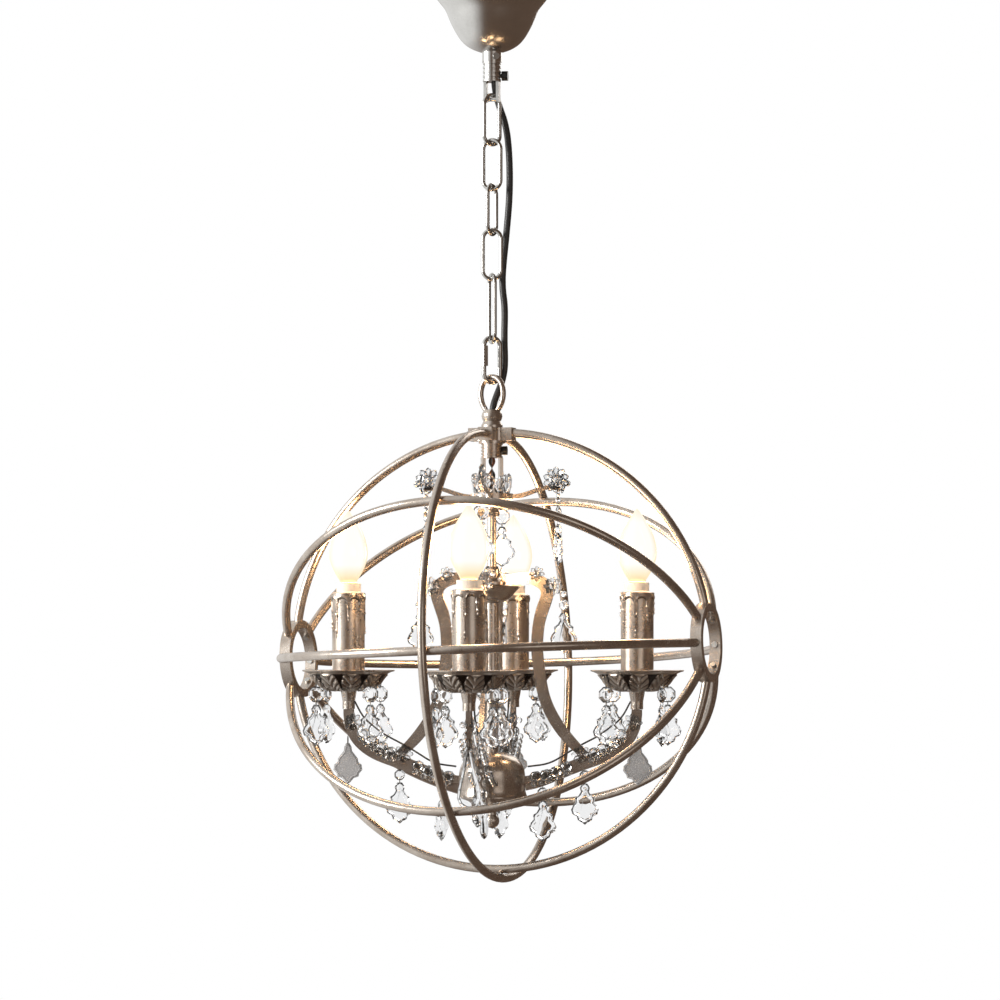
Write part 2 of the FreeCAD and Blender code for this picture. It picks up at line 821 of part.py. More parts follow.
def outer_ring():
    """The upright ring outside the others, square to the meridian ring.

    Its shoulders are arcs of a smaller radius, which bring it down to the hub's middle.
    """
    radius = ring_radius + 2 * rod_radius + outer_ring_gap
    angle = math.radians(shoulder_angle)
    shift = (radius - rod_end_up) / (1 - math.cos(angle))
    small = radius - shift
    centre = (shift * math.sin(angle), shift * math.cos(angle))
    right = arc_rod(small, rod_radius, shoulder_angle, QUARTER_TURN, centre)
    stub = rod(rod_radius, (hub_half - hub_socket, 0, rod_end_up), (centre[0], 0, rod_end_up))
    lower = arc_rod(radius, rod_radius, HALF_TURN - shoulder_angle, FULL_TURN + shoulder_angle)
    pieces = [lower, right, stub, turned(right, HALF_TURN), turned(stub, HALF_TURN)]
    return turned(fused(pieces), QUARTER_TURN)


def medallion(side):
    """One of the two short tubes where the ring rods end."""
    middle = side * math.sqrt(ring_radius**2 - (medallion_radius - rod_radius) ** 2)
    start = (middle - medallion_width / 2, 0, 0)
    end = (middle + medallion_width / 2, 0, 0)
    return rod(medallion_radius, start, end).cut(rod(medallion_bore, start, end))


def medallion_screws(gap):
    """The screws through the medallions' walls into the rod ends, with their heads inside."""
    middle = math.sqrt(ring_radius**2 - (medallion_radius - rod_radius) ** 2)
    seat = medallion_bore - fit_gap
    end = seat + medallion_screw_length + gap
    screw = rod(medallion_screw_head_radius, (middle, 0, seat - medallion_screw_head),
                (middle, 0, seat)).fuse(rod(medallion_screw_radius + gap, (middle, 0, seat),
                                            (middle, 0, end)))
    screw = screw.removeSplitter()
    found = []
    for tilts in (meridian_tilts, front_tilts, equator_tilts, from_behind(back_tilts)):
        for half, tilt in zip((0, HALF_TURN), tilts):
            one = screw.rotated(ORIGIN, AXIS_X, QUARTER_TURN - tilt + half)
            found += [one, one.mirror(ORIGIN, AXIS_X)]
    return found


def joining_screw(gap):
    """The headless screw that ties the outer ring to the meridian ring at the bottom."""
    low = -(ring_radius + 3 * rod_radius + outer_ring_gap) + joining_screw_cover
    high = -(ring_radius - rod_radius) - joining_screw_cover
    return tilted(cylinder(joining_screw_radius + gap, low - gap, high + gap), meridian_tilts[1])


def hub_block():
    """The cross-shaped block with concave corners."""
    arm = box((2 * hub_half, hub_arm, hub_height), (-hub_half, -hub_arm / 2, -hub_height / 2))
    core = box((2 * hub_core, 2 * hub_core, hub_height), (-hub_core, -hub_core, -hub_height / 2))
    place = hub_notch_place
    notches = [cylinder(hub_notch, -hub_height, hub_height, sx * place, sy * place)
               for sx in (-1, 1) for sy in (-1, 1)]
    block = fused([arm, turned(arm, QUARTER_TURN), cut_all(core, notches)])
    bore = cylinder(nipple_radius + fit_gap, -hub_height, hub_height)
    return turned(block.cut(bore), cage_yaw).translated(Vector(0, 0, hub_middle_z))


def cage():
    """The hub, the five rings, the two medallions and their screws."""
    screws = medallion_screws(0) + [joining_screw(0)]
    holes = medallion_screws(fit_gap) + [joining_screw(fit_gap)]
    meridian = meridian_pieces()
    outer = outer_ring()
    front, back = half_rings(front_tilts), half_rings(from_behind(back_tilts))
    equator = half_rings(equator_tilts)
    rods = front + back + equator + meridian
    rings = {"front_upper_ring": front, "back_upper_ring": back,
             "equator_ring": equator, "meridian_ring": meridian, "outer_ring": [outer]}
    for name, pieces in rings.items():
        keep(name, [leaned(cut_all(piece, holes)) for piece in pieces])
    for name, side in (("medallion_left", -1), ("medallion_right", 1)):
        keep(name, leaned(cut_all(medallion(side), rods + holes)))
    keep("cage_screws", [leaned(s) for s in screws])
    keep("cage_hub", cut_all(hub_block(), [leaned(s) for s in meridian + [outer]]))


# ---------------------------------------------------------------- under the hub


def under_hub():
    """The nipple through the hub, the washer, the lower cord grip, the yoke and its leads."""
    hub_bottom = hub_middle_z - hub_height / 2
    washer_low = hub_bottom - washer_height
    grip_low = washer_low - lower_grip_height
    base_low = orb_z + crown_top_up
    yoke_low = base_low + yoke_base_height
    keep("hub_nipple", tube(nipple_radius, nipple_bore, grip_low + lower_grip_height / 3,
                            flange_bottom_z + base_thread_depth - part_gap))
    keep("hub_washer", tube(washer_radius, nipple_radius + fit_gap, washer_low, hub_bottom))
    grip = ridged(lower_grip_radius, 0, grip_low, washer_low)
    screw_z = grip_low + lower_grip_height / 2
    face = lower_grip_radius + fit_gap
    screw = rod(lower_screw_radius, (face, 0, screw_z), (face + lower_screw_height, 0, screw_z)).fuse(
        rod(set_screw_radius, (nipple_radius + fit_gap, 0, screw_z), (face, 0, screw_z)))
    hole = rod(set_screw_radius + fit_gap, (nipple_radius, 0, screw_z), (2 * face, 0, screw_z))
    bores = [cylinder(nipple_radius + fit_gap, grip_low + lower_grip_height / 3, washer_low),
             cylinder(2 * lead_radius + lead_spread / 2, grip_low, washer_low), hole]
    keep("lower_cord_grip", cut_all(grip, bores))
    keep("grip_screw", screw.removeSplitter())
    width, depth = yoke_leg
    legs = [box((width, depth, grip_low - yoke_low),
                (side * yoke_leg_centre - width / 2, -depth / 2, yoke_low)) for side in (-1, 1)]
    base = cylinder(yoke_base_radius, base_low, yoke_low)
    bore = cylinder(stem_radius + fit_gap, base_low, base_low + yoke_base_height / 2)
    lead_bore = cylinder(2 * lead_radius + lead_spread / 2, base_low, yoke_low)
    keep("stem_yoke", turned(cut_all(fused(legs + [base]), [bore, lead_bore]), yoke_yaw))
    keep("yoke_leads", [cylinder(lead_radius, base_low + yoke_base_height / 2 + fit_gap,
                                 grip_low + lower_grip_height / 3 - fit_gap, side * lead_spread)
                        for side in (-1, 1)])


# ---------------------------------------------------------------- stem


def on_stem(outline, base):
    """A turned piece about the stem, from its (radius, height above base) outline."""
    bore = stem_radius + fit_gap
    points = [(r, base + up) for r, up in outline]
    return lathe([(bore, points[0][1])] + points + [(bore, points[-1][1])])


def sheet_on_stem(outline, base, wall, side):
    """A spun sheet that starts at the stem, above (side 1) or below (side -1) its base height."""
    start = (stem_radius + fit_gap + wall / 2, base + side * wall / 2)
    return spun([start] + [(r, base + up) for r, up in outline], wall)


def stem():
    """The stem with its cover tube, turned pieces, bottom bell, saucer and finial."""
    top = crown_top_up + yoke_base_height / 2
    lip_up = bell_top_up + bell_outline[-1][1]
    low = lip_up + saucer_outline[-1][1]
    inner = tube(stem_radius, stem_bore, low, top)
    cover = tube(cover_radius, stem_radius + fit_gap, bell_top_up + part_gap, cover_top_up - fit_gap)
    keep("stem_tube", [raised(inner, 0), raised(cover, 0)])
    cup = sheet_on_stem(cup_outline, cover_top_up, cup_wall, 1)
    flare = on_stem(flare_outline, cover_top_up + cup_wall)
    disc = on_stem(disc_outline, crown_top_up - disc_drop)
    keep("stem_cup", [raised(s, 0) for s in (cup.cut(flare), flare, disc)])
    bell = sheet_on_stem(bell_outline, bell_top_up, bell_wall, -1)
    reach = 2 * bell_outline[-1][0]
    studs = four(rod(arm_stud_radius + fit_gap, (reach / 3, 0, arm_stud_up), (reach, 0, arm_stud_up)))
    bell = cut_all(bell, studs)
    keep("bottom_bell", raised(bell, 0))
    keep("bottom_saucer", raised(on_stem(saucer_outline, lip_up), 0))
    ball_up = low - finial_radius - finial_neck_length
    ball = Part.makeSphere(finial_radius, Vector(0, 0, ball_up))
    neck = cylinder(finial_neck_radius, ball_up, low - fit_gap)
    keep("finial_ball", raised(fused([ball, neck]), 0))
    return flare, bell


# ---------------------------------------------------------------- arms


def arms(flare, bell, collar):
    """The four candle arms, the four lyre scrolls above them and the lead wires."""
    stud = rod(arm_stud_radius, (arm_root - arm_stud_length, 0, arm_stud_up),
               (arm_root + arm_stud_length, 0, arm_stud_up))
    arm = fused([bar(along_arm(arm_outline), arm_thickness).cut(collar), stud]).cut(bell)
    scroll_line = list(scroll_outline) + along_arm(scroll_foot)
    scroll = cut_all(bar(scroll_line, scroll_thickness), [arm, flare])
    keep("main_arms", [raised(a, 0) for a in four(arm)])
    keep("lyre_scrolls", [raised(s, 0) for s in four(scroll)])
    route = along_arm(wire_route) + [(arm_reach - wire_end[0], wire_end[1])]
    side = arm_thickness / 2 + wire_radius + fit_gap
    wire = bent_tube([(r, side, z) for r, z in route], wire_radius, cord_bend_share)
    keep("lead_wires", [raised(w, 0) for w in four(wire)])


# ---------------------------------------------------------------- candles


def drip(angle, length):
    """A run of wax down the outside of a sleeve, with a round end."""
    reach = sleeve_radius - drip_sink
    x, y = reach * math.cos(math.radians(angle)), reach * math.sin(math.radians(angle))
    end = sleeve_top_up - length
    return cylinder(drip_radius, end, sleeve_top_up, x, y).fuse(
        Part.makeSphere(drip_radius, Vector(x, y, end)))


def candle_collar(pan):
    """The turned collar between an arm and its drip pan, on the candle's own axis."""
    low, high = collar_outline[0][1], collar_outline[-1][1]
    return lathe([(0, low)] + list(collar_outline) + [(0, high)]).cut(pan)


def candles(pan, collar):
    """Collars, drip pans, sleeves, lamp holders and lamps, made on the candle's own axis."""
    out = Vector(arm_reach, 0, 0)
    sleeve_low = pan_outline[1][1] + pan_wall
    drips = [drip(FULL_TURN / len(drip_lengths) * i, length) for i, length in enumerate(drip_lengths)]
    sleeve = fused([cylinder(sleeve_radius, sleeve_low, sleeve_top_up)] + drips)
    sleeve = sleeve.cut(cylinder(sleeve_bore, sleeve_low, sleeve_top_up))
    cap_bore = lamp_cap_radius + part_gap
    cap_floor = holder_top_up - lamp_cap_length - part_gap
    nipple = holder_nipple_radius - fit_gap
    nipple_low = collar_outline[-1][1] + fit_gap
    holder = lathe([(0, nipple_low), (nipple, nipple_low),
                    (nipple, holder_body_up), (holder_radius, holder_body_up + holder_shoulder),
                    (holder_radius, sleeve_top_up), (holder_neck_radius, sleeve_top_up + holder_step),
                    (holder_neck_radius, holder_top_up), (cap_bore, holder_top_up),
                    (cap_bore, cap_floor), (0, cap_floor)])
    keep("candle_collars", [raised(s, 0) for s in four(collar)])
    keep("drip_pans", [raised(s, 0) for s in four(pan.translated(out))])
    keep("candle_sleeves", [raised(s, 0) for s in four(sleeve.translated(out))])
    keep("lamp_holders", [raised(s, 0) for s in four(holder.translated(out))])
    cap = cylinder(lamp_cap_radius, holder_top_up - lamp_cap_length, holder_top_up + part_gap)
    low = holder_top_up + part_gap
    edge = [(r, holder_top_up + up) for r, up in lamp_outline]
    curve = smooth_edge(edge)
    first, last, tip = edge[0], edge[-1], Vector(0, 0, holder_top_up + lamp_height)
    closing = [Part.makeLine(Vector(last[0], 0, last[1]), tip),
               Part.makeLine(tip, Vector(0, 0, low)),
               Part.makeLine(Vector(0, 0, low), Vector(first[0], 0, low)),
               Part.makeLine(Vector(first[0], 0, low), Vector(first[0], 0, first[1]))]
    face = Part.Face(Part.Wire(Part.__sortEdges__([curve] + closing)))
    glass = face.revolve(ORIGIN, AXIS_Z, FULL_TURN)
    for i, place in enumerate(four(glass.translated(out))):
        own_cap = turned(cap.translated(out), FULL_TURN / arm_count * i)
        keep("lamp_%d" % (i + 1), [raised(place, 0), raised(own_cap, 0)])


# ---------------------------------------------------------------- crystals


def cut_glass(scallops, width, height, depth):
    """A flat pendant, cut thinner towards its scalloped edge, that hangs down from z = 0."""
    half = width / 2
    right = [(share * half, -down * height) for share, down in scallops]
    outline = right + [(-x, z) for x, z in reversed(right)]

    def wire(y, share):
        middle = -height * pendant_middle
        points = [Vector(x * share, y, middle + (z - middle) * share) for x, z in outline]
        return Part.makePolygon(points + points[:1])

    layers = [wire(-depth / 2, pendant_facet), wire(-depth / 8, 1), wire(depth / 8, 1),
              wire(depth / 2, pendant_facet)]
    return Part.makeLoft(layers, True, True)


def octagon(width):
    """An eight-sided crystal that hangs down from z = 0, with its height."""
    low, high = (1 - octagon_flat) / 2, (1 + octagon_flat) / 2
    scallops = ((octagon_flat, 0), (1, low), (1, high), (octagon_flat, 1))
    return cut_glass(scallops, width, width, octagon_depth), width


def pin(length):
    """The wire that a crystal hangs on, down from z = 0, with its length."""
    return cylinder(pin_radius, -length, 0), length


def pendant(size):
    """The scalloped pendant, with its height."""
    return cut_glass(pendant_scallops, size[0], size[1], pendant_depth), size[1]


def icicle():
    """The long drop, with its height."""
    return cut_glass(drop_scallops, icicle_width, icicle_height, icicle_depth), icicle_height


def drop(place, top, facing, pieces):
    """Crystals and pins hung one under another from a point."""
    found, z = [], top
    for shape, height in pieces:
        found.append(raised(turned(shape, facing).translated(Vector(place[0], place[1], z)), 0))
        z -= height + pin_gap
    return found


def pan_pendants():
    """An octagon and a scalloped pendant on each hook of each pan."""
    found = []
    for i in range(arm_count):
        arm_angle = FULL_TURN / arm_count * i
        middle = Vector(arm_reach, 0, 0)
        for hook, facing in pan_hooks:
            angle = math.radians(hook)
            place = middle + Vector(pan_hook_reach * math.cos(angle), pan_hook_reach * math.sin(angle), 0)
            hung = drop((place.x, place.y), pan_hook_up, facing - arm_angle, [
                pin(pan_hook_length), octagon(octagon_width), pin(long_pin), pendant(pan_pendant_size)])
            found += [turned(piece, arm_angle) for piece in hung]
    return found


def bead_row(line, sag, radius):
    """Beads side by side along a hanging line in the XZ plane, beside the arm's face."""
    (start_x, start_z), (end_x, end_z) = line
    y = arm_thickness / 2 + radius + pin_gap
    count = int(math.hypot(end_x - start_x, end_z - start_z) / (2 * radius + pin_gap))
    found = []
    for i in range(count):
        share = (i + 1 / 2) / count
        x = start_x + (end_x - start_x) * share
        z = start_z + (end_z - start_z) * share - 4 * sag * share * (1 - share)
        found.append(Part.makeSphere(radius, Vector(x, y, z)))
    return found


def rosette(place, thickness):
    """A round cluster of petals on the face of an arm of a thickness."""
    x, z, radius = place
    profile = [(share * radius, up * rosette_depth) for share, up in rosette_outline]
    flat = lathe(profile).rotated(ORIGIN, AXIS_X, -QUARTER_TURN)
    return flat.translated(Vector(x, thickness / 2 + pin_gap, z))


def on_all_arms(shapes):
    """The shapes once on each arm, as pieces already at their height."""
    return [turned(shape, FULL_TURN / arm_count * i) for shape in shapes for i in range(arm_count)]


def both_sides(shapes):
    """The shapes and their mirror images on the arm's other face."""
    return shapes + [s.mirror(ORIGIN, AXIS_Y) for s in shapes]


def crystals():
    """All the glass on the pans, the main arms and the lyre scrolls."""
    keep("pan_pendants", pan_pendants())
    row = bead_row(along_arm(outer_beads), outer_beads_sag, bead_radius)
    row += bead_row(along_arm(inner_beads), 0, big_bead_radius)
    row += [rosette(place, arm_thickness) for place in along_arm([tip_rosette, mid_rosette])]
    keep("arm_garlands", on_all_arms([raised(s, 0) for s in both_sides(row)]))
    tip = drop((arm_reach + tip_beyond, 0), tip_top_up, QUARTER_TURN,
               [pin(tip_pin), pendant(tip_pendant_size)])
    for i in range(arm_count):
        keep("tip_pendant_%d" % (i + 1), [turned(p, FULL_TURN / arm_count * i) for p in tip])
    reach, top = along_arm([mid_pendant_top])[0]
    keep("arm_pendants", on_all_arms(drop((reach, 0), top, QUARTER_TURN, [
        pin(long_pin), octagon(small_octagon_width), pin(short_pin), icicle()])))
    reach, top = shoulder_pendant_top
    keep("scroll_crystals", on_all_arms(drop((reach, 0), top, QUARTER_TURN, [
        pin(shoulder_pin), octagon(octagon_width), pin(short_pin), pendant(shoulder_pendant_size)])))


def crown():
    """The four small upper arms, the ring of upright crystals and the glass at the arm tips."""
    top = crown_top_up - fit_gap
    disc = tube(crown_disc_radius, stem_radius + fit_gap, top - crown_disc_height, top)
    outline = [(reach, top + up, width) for reach, up, width in crown_arm_outline]
    tips = four(bar(outline, crown_arm_thickness))
    keep("crown_arms", raised(fused([disc] + tips), 0))
    profile = [(0, crown_crystal_outline[0][1])] + list(crown_crystal_outline)
    shape = lathe(profile).translated(Vector(crown_crystal_circle, 0, top))
    step = FULL_TURN / crown_crystals
    keep("crown_crystals", [raised(turned(shape, step * (i + 1 / 2)), 0) for i in range(crown_crystals)])
    reach, tip_up, width = outline[-1]
    hung = drop((reach - crown_pendant_inset, 0), tip_up - width / 2 - part_gap / 2, QUARTER_TURN, [
        pin(short_pin), octagon(octagon_width), pin(short_pin), pendant(crown_pendant_size)])
    heads = [raised(s, top) for s in both_sides([rosette(crown_rosette, crown_arm_thickness)])]
    keep("crown_pendants", on_all_arms(hung + heads))


# ---------------------------------------------------------------- build

ceiling_end()
chain()
cage()
under_hub()
flare_solid, bell_solid = stem()
pan_solid = spun(pan_outline, pan_wall)
collar_solid = candle_collar(pan_solid).translated(Vector(arm_reach, 0, 0))
arms(flare_solid, bell_solid, collar_solid)
candles(pan_solid, collar_solid)
crystals()
crown()

os.makedirs("parts", exist_ok=True)
for name, shape in nodes.items():
    if not shape.isValid() or min(solid.Volume for solid in shape.Solids) <= 0:
        print("not valid:", name)
    shape.exportStep("parts/%s.step" % name)
print("nodes", len(nodes), "orb middle", round(orb_z, 2), "hub middle", round(hub_middle_z, 2))
print("link tops", [round(z, 1) for z in link_tops])
print("quick link top", round(quick_top_z, 1), "loop top", round(loop_top_z, 1))
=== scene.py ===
# %% [markdown]
# # Orb chandelier
# This lesson dresses a small candle chandelier that hangs inside an orb of round rods. The metal
# frame comes in finished, at its real size. What is left for Blender is the finish of every
# surface, the cut glass, the wax on the candle covers, the embossed pans, the lamps and the
# supply cord. Lengths are in metres, so `mm` turns a drawing size into one.

# %% Load the frame
import json
import math

import bmesh
import bpy
from mathutils import Matrix, Vector


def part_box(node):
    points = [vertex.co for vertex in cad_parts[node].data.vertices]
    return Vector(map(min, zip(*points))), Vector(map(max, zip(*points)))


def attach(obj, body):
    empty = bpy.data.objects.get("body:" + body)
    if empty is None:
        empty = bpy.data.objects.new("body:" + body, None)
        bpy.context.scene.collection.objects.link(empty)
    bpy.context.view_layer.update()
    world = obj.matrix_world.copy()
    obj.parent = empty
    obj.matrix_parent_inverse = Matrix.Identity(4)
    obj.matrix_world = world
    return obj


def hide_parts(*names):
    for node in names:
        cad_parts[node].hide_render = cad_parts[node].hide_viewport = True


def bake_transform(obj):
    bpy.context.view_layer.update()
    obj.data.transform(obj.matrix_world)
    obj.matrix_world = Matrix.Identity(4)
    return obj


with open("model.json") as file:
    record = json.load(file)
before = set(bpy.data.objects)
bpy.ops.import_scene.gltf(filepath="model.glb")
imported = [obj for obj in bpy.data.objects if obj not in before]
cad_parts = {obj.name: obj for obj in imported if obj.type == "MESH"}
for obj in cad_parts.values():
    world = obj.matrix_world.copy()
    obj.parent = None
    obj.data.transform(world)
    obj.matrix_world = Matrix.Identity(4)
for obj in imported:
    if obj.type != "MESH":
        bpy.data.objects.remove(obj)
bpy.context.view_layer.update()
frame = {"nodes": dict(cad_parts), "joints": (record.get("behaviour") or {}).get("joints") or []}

mm = 0.001
full_turn = math.tau
quarter_turn = math.tau / 4
arm_count = 4
print("nodes in the frame:", len(frame["nodes"]))

# %% [markdown]
# ## Where the orb is
# The orb hangs from its hub, so its middle lies one rod reach below the middle of the hub. The
# heights in this lesson are counted from that middle, as a maker would measure a globe.

# %% The middle of the orb
ring_radius = 195.3 * mm
hub_half = 20.5 * mm
hub_low, hub_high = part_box("cage_hub")
hub_middle = (hub_low.z + hub_high.z) / 2
orb_z = hub_middle - math.sqrt(ring_radius**2 - hub_half**2)
print("middle of the orb %.4f m below the ceiling" % -orb_z)

# %% [markdown]
# ## Camera
# The photograph was taken from the orb's own height, a little to the right of its front, from
# far away with a long lens. A lens that only shifts its picture up keeps all uprights parallel,
# which is why the shift is used here and the camera isn't tipped.

# %% Camera
picture_pixels = 1000
focal_pixels = 3784
horizon_row = 656.4
sensor_width = 36.0
camera_turn = math.radians(8.6)
camera_distance = 3.394
camera_aside = 7.2 * mm
eye_below_middle = 4.8 * mm


def add_object(name, data):
    """An object with its data, in the scene."""
    made = bpy.data.objects.new(name, data)
    bpy.context.scene.collection.objects.link(made)
    return made


camera_data = bpy.data.cameras.new("studio_camera")
camera_data.sensor_width = sensor_width
camera_data.lens = sensor_width * focal_pixels / picture_pixels
camera_data.shift_y = horizon_row / picture_pixels - 1 / 2
camera_data.clip_end = 50
camera = add_object("studio_camera", camera_data)
camera.location = (
    camera_distance * math.sin(camera_turn) + camera_aside * math.cos(camera_turn),
    -camera_distance * math.cos(camera_turn) + camera_aside * math.sin(camera_turn),
    orb_z - eye_below_middle,
)
camera.rotation_euler = (quarter_turn, 0, camera_turn)
bpy.context.scene.camera = camera
print("lens %.1f mm" % camera_data.lens)

# %% [markdown]
# ## Small helpers for node materials
# A material is a little graph. These helpers keep the graphs short to write: wherever a value is
# due, a socket of another node can be given instead, and is linked.

# %% Node helpers


def give(tree, end, source):
    """Gives an input a socket of another node, or a fixed value."""
    if isinstance(source, bpy.types.NodeSocket):
        tree.links.new(source, end)
    else:
        end.default_value = source


def feed(tree, node, **fields):
    """Sets fields and inputs of a node by name."""
    for name, value in fields.items():
        if name in node.bl_rna.properties:
            setattr(node, name, value)
        else:
            give(tree, node.inputs[name.replace("_", " ")], value)
    return node


def add_node(tree, kind, *sources, **fields):
    """A node of a kind, with its inputs in their order, and fields and inputs by name."""
    node = feed(tree, tree.nodes.new(kind), **fields)
    for end, source in zip(node.inputs, sources):
        give(tree, end, source)
    return node


def new_material(name, **sockets):
    """A material with one Principled shader, whose sockets are set by name."""
    material = bpy.data.materials.new(name)
    material.use_nodes = True
    tree = material.node_tree
    return material, tree, feed(tree, tree.nodes["Principled BSDF"], **sockets)


def new_group(name, inputs, outputs):
    """A node group with float, colour or vector sockets, and its two end nodes."""
    group = bpy.data.node_groups.new(name, "ShaderNodeTree")
    for direction, sockets in (("INPUT", inputs), ("OUTPUT", outputs)):
        for socket, kind, *default in sockets:
            made = group.interface.new_socket(socket, in_out=direction, socket_type=kind)
            if default:
                made.default_value = default[0]
    return group, group.nodes.new("NodeGroupInput"), group.nodes.new("NodeGroupOutput")


def object_noise(tree, **fields):
    """A noise texture that is laid out in the object's own coordinates, as its output."""
    spot = add_node(tree, "ShaderNodeTexCoord").outputs["Object"]
    return add_node(tree, "ShaderNodeTexNoise", Vector=spot, **fields).outputs["Fac"]


def color_mix(tree, share, first, second):
    """The colour at a share between two others, as an output."""
    mix = add_node(tree, "ShaderNodeMix", data_type="RGBA", Factor=share)
    ends = [socket for socket in mix.inputs if socket.type == "RGBA"]
    for end, source in zip(ends, (first, second)):
        give(tree, end, source)
    return next(socket for socket in mix.outputs if socket.type == "RGBA")


# %% [markdown]
# ## Aged paint, as a group
# The orb and the arms have one paint: warm grey brown, rubbed lighter where hands and cloths
# have passed, with a fine grain. Many finishes here need that same wear, so it is a node group
# with named inputs. It gives a colour, a roughness and a normal, and never a shader.

# %% Group: rubbed and grained finish
colour, number, vector = "NodeSocketColor", "NodeSocketFloat", "NodeSocketVector"
grain_share = 0.45
worn_from, worn_to = 0.5, 0.98
grain_depth = 0.15 * mm


def rubbed_grain():
    """Two colours mixed by soft wear and a fine speckle, with a roughness and a bump to match."""
    group, start, end = new_group(
        "rubbed_grain",
        [("Rubbed", colour), ("Deep", colour), ("Wear Scale", number, 60.0),
         ("Grain Scale", number, 900.0), ("Roughness", number, 0.4),
         ("Roughness Spread", number, 0.12), ("Bump", number, 0.25)],
        [("Color", colour), ("Roughness", number), ("Normal", vector)],
    )
    wear = object_noise(group, Detail=5.0, Roughness=0.62, Scale=start.outputs["Wear Scale"])
    grain = object_noise(group, Detail=2.0, Scale=start.outputs["Grain Scale"])
    both = add_node(group, "ShaderNodeMath", grain, grain_share, wear, operation="MULTIPLY_ADD")
    share = add_node(group, "ShaderNodeMapRange", From_Min=worn_from, From_Max=worn_to,
                     Value=both.outputs[0])
    gloss = add_node(group, "ShaderNodeMath", wear, start.outputs["Roughness Spread"],
                     start.outputs["Roughness"], operation="MULTIPLY_ADD")
    bump = add_node(group, "ShaderNodeBump", Distance=grain_depth, Strength=start.outputs["Bump"],
                    Height=grain)
    shade = color_mix(group, share.outputs[0], start.outputs["Deep"], start.outputs["Rubbed"])
    feed(group, end, Color=shade, Roughness=gloss.outputs[0], Normal=bump.outputs[0])
    return group


grain_group = rubbed_grain()


def grained(name, rubbed, deep, metallic, roughness, painted_shade=None, **values):
    """A material whose colour, roughness and normal come from the rubbed grain group.

    With a dark colour given, the piece's own float attribute paints shade into its recesses and
    creases.
    """
    material, tree, shader = new_material(name, Metallic=metallic)
    look = add_node(tree, "ShaderNodeGroup", node_tree=grain_group, Rubbed=(*rubbed, 1),
                    Deep=(*deep, 1), Roughness=roughness, **values).outputs
    shade = look["Color"]
    # painted shade: the attribute mixes the dark colour into the recesses and creases
    if painted_shade:
        recess = add_node(tree, "ShaderNodeAttribute", attribute_name="painted_shade")
        shade = color_mix(tree, recess.outputs["Fac"], shade, (*painted_shade, 1))
    feed(tree, shader, Base_Color=shade, Roughness=look["Roughness"], Normal=look["Normal"])
    return material


# %% [markdown]
# ## The metals
# Every metal is that one group with its own colours: the antique paint of the orb, the satin
# nickel of the canopy, the bright plated chain, plain zinc screws, black screws, brass lamp
# caps and the thin wire that the glass hangs on. The plastics and the cord use it too.

# %% Metal finishes
antique_paint = grained("antique_paint", (0.60, 0.545, 0.49), (0.40, 0.335, 0.28), 0.92, 0.2,
                        Wear_Scale=45.0, Bump=0.10)
# The relief finish carries a near-black painted shade for the recesses of the pans and the crease
# under the wax.
antique_relief = grained("antique_relief", (0.60, 0.54, 0.48), (0.42, 0.35, 0.29), 0.9, 0.22,
                         painted_shade=(0.030, 0.021, 0.016), Wear_Scale=60.0, Bump=0.10)
satin_nickel = grained("satin_nickel", (0.70, 0.695, 0.68), (0.56, 0.55, 0.53), 1.0, 0.2,
                       Wear_Scale=18.0, Bump=0.10)
bright_chain = grained("bright_chain", (0.62, 0.615, 0.60), (0.40, 0.39, 0.37), 1.0, 0.12,
                       Wear_Scale=90.0, Bump=0.08)
zinc_plate = grained("zinc_plate", (0.62, 0.62, 0.60), (0.42, 0.42, 0.41), 1.0, 0.28, Bump=0.2)
black_oxide = grained("black_oxide", (0.05, 0.05, 0.05), (0.012, 0.012, 0.012), 0.6, 0.3, Bump=0.3)
lamp_brass = grained("lamp_brass", (0.80, 0.62, 0.30), (0.58, 0.42, 0.18), 1.0, 0.25, Bump=0.1)
crystal_wire = grained("crystal_wire", (0.50, 0.47, 0.42), (0.16, 0.13, 0.10), 1.0, 0.25, Bump=0.05)
cream_plastic = grained("cream_plastic", (0.88, 0.85, 0.78), (0.82, 0.78, 0.70), 0.0, 0.42,
                        Bump=0.1)
cord_rubber = grained("cord_rubber", (0.035, 0.033, 0.032), (0.016, 0.015, 0.015), 0.0, 0.38,
                      Bump=0.5, Grain_Scale=1400.0)
brown_lead = grained("brown_lead", (0.23, 0.09, 0.045), (0.15, 0.055, 0.028), 0.0, 0.3, Bump=0.1)
black_lead = grained("black_lead", (0.03, 0.028, 0.027), (0.015, 0.014, 0.014), 0.0, 0.3, Bump=0.1)

# %% [markdown]
# ## Glass
# Cut glass is clear, so nearly all that it shows is bent light from behind it. The glass has a
# trace of body colour, so that long ways through it come out darker than short ones, as in a
# real prism. The lit lamps are a glowing envelope: nearly white in front, warmer at the foot, at
# the tip and where the glass turns away. The light that they cast on other pieces is stronger and
# warmer than what the camera sees, as with a real lamp in a bright picture.

# %% Glass finishes
glass_ior = 1.54
lamp_seen = 1.0
lamp_cast = 34.0
lamp_warmth = (1.0, 0.62, 0.32, 1)
lamp_rim = (1.0, 0.80, 0.52, 1)
rim_from, rim_to = 0.28, 0.78
lamp_stops = (
    (0.0, (0.92, 0.55, 0.24, 1)),
    (0.10, (1.0, 0.84, 0.58, 1)),
    (0.24, (1.0, 0.99, 0.95, 1)),
    (0.80, (1.0, 0.99, 0.95, 1)),
    (1.0, (1.0, 0.86, 0.66, 1)),
)


def cut_glass():
    """Clear crystal with a trace of waviness left by moulding."""
    material, tree, shader = new_material(
        "cut_glass", Transmission_Weight=1.0, IOR=glass_ior, Roughness=0.0,
        Base_Color=(0.93, 0.935, 0.94, 1))
    wave = object_noise(tree, Scale=140.0, Detail=1.0)
    bump = add_node(tree, "ShaderNodeBump", Strength=0.25, Distance=0.3 * mm, Height=wave)
    feed(tree, shader, Normal=bump.outputs[0])
    return material


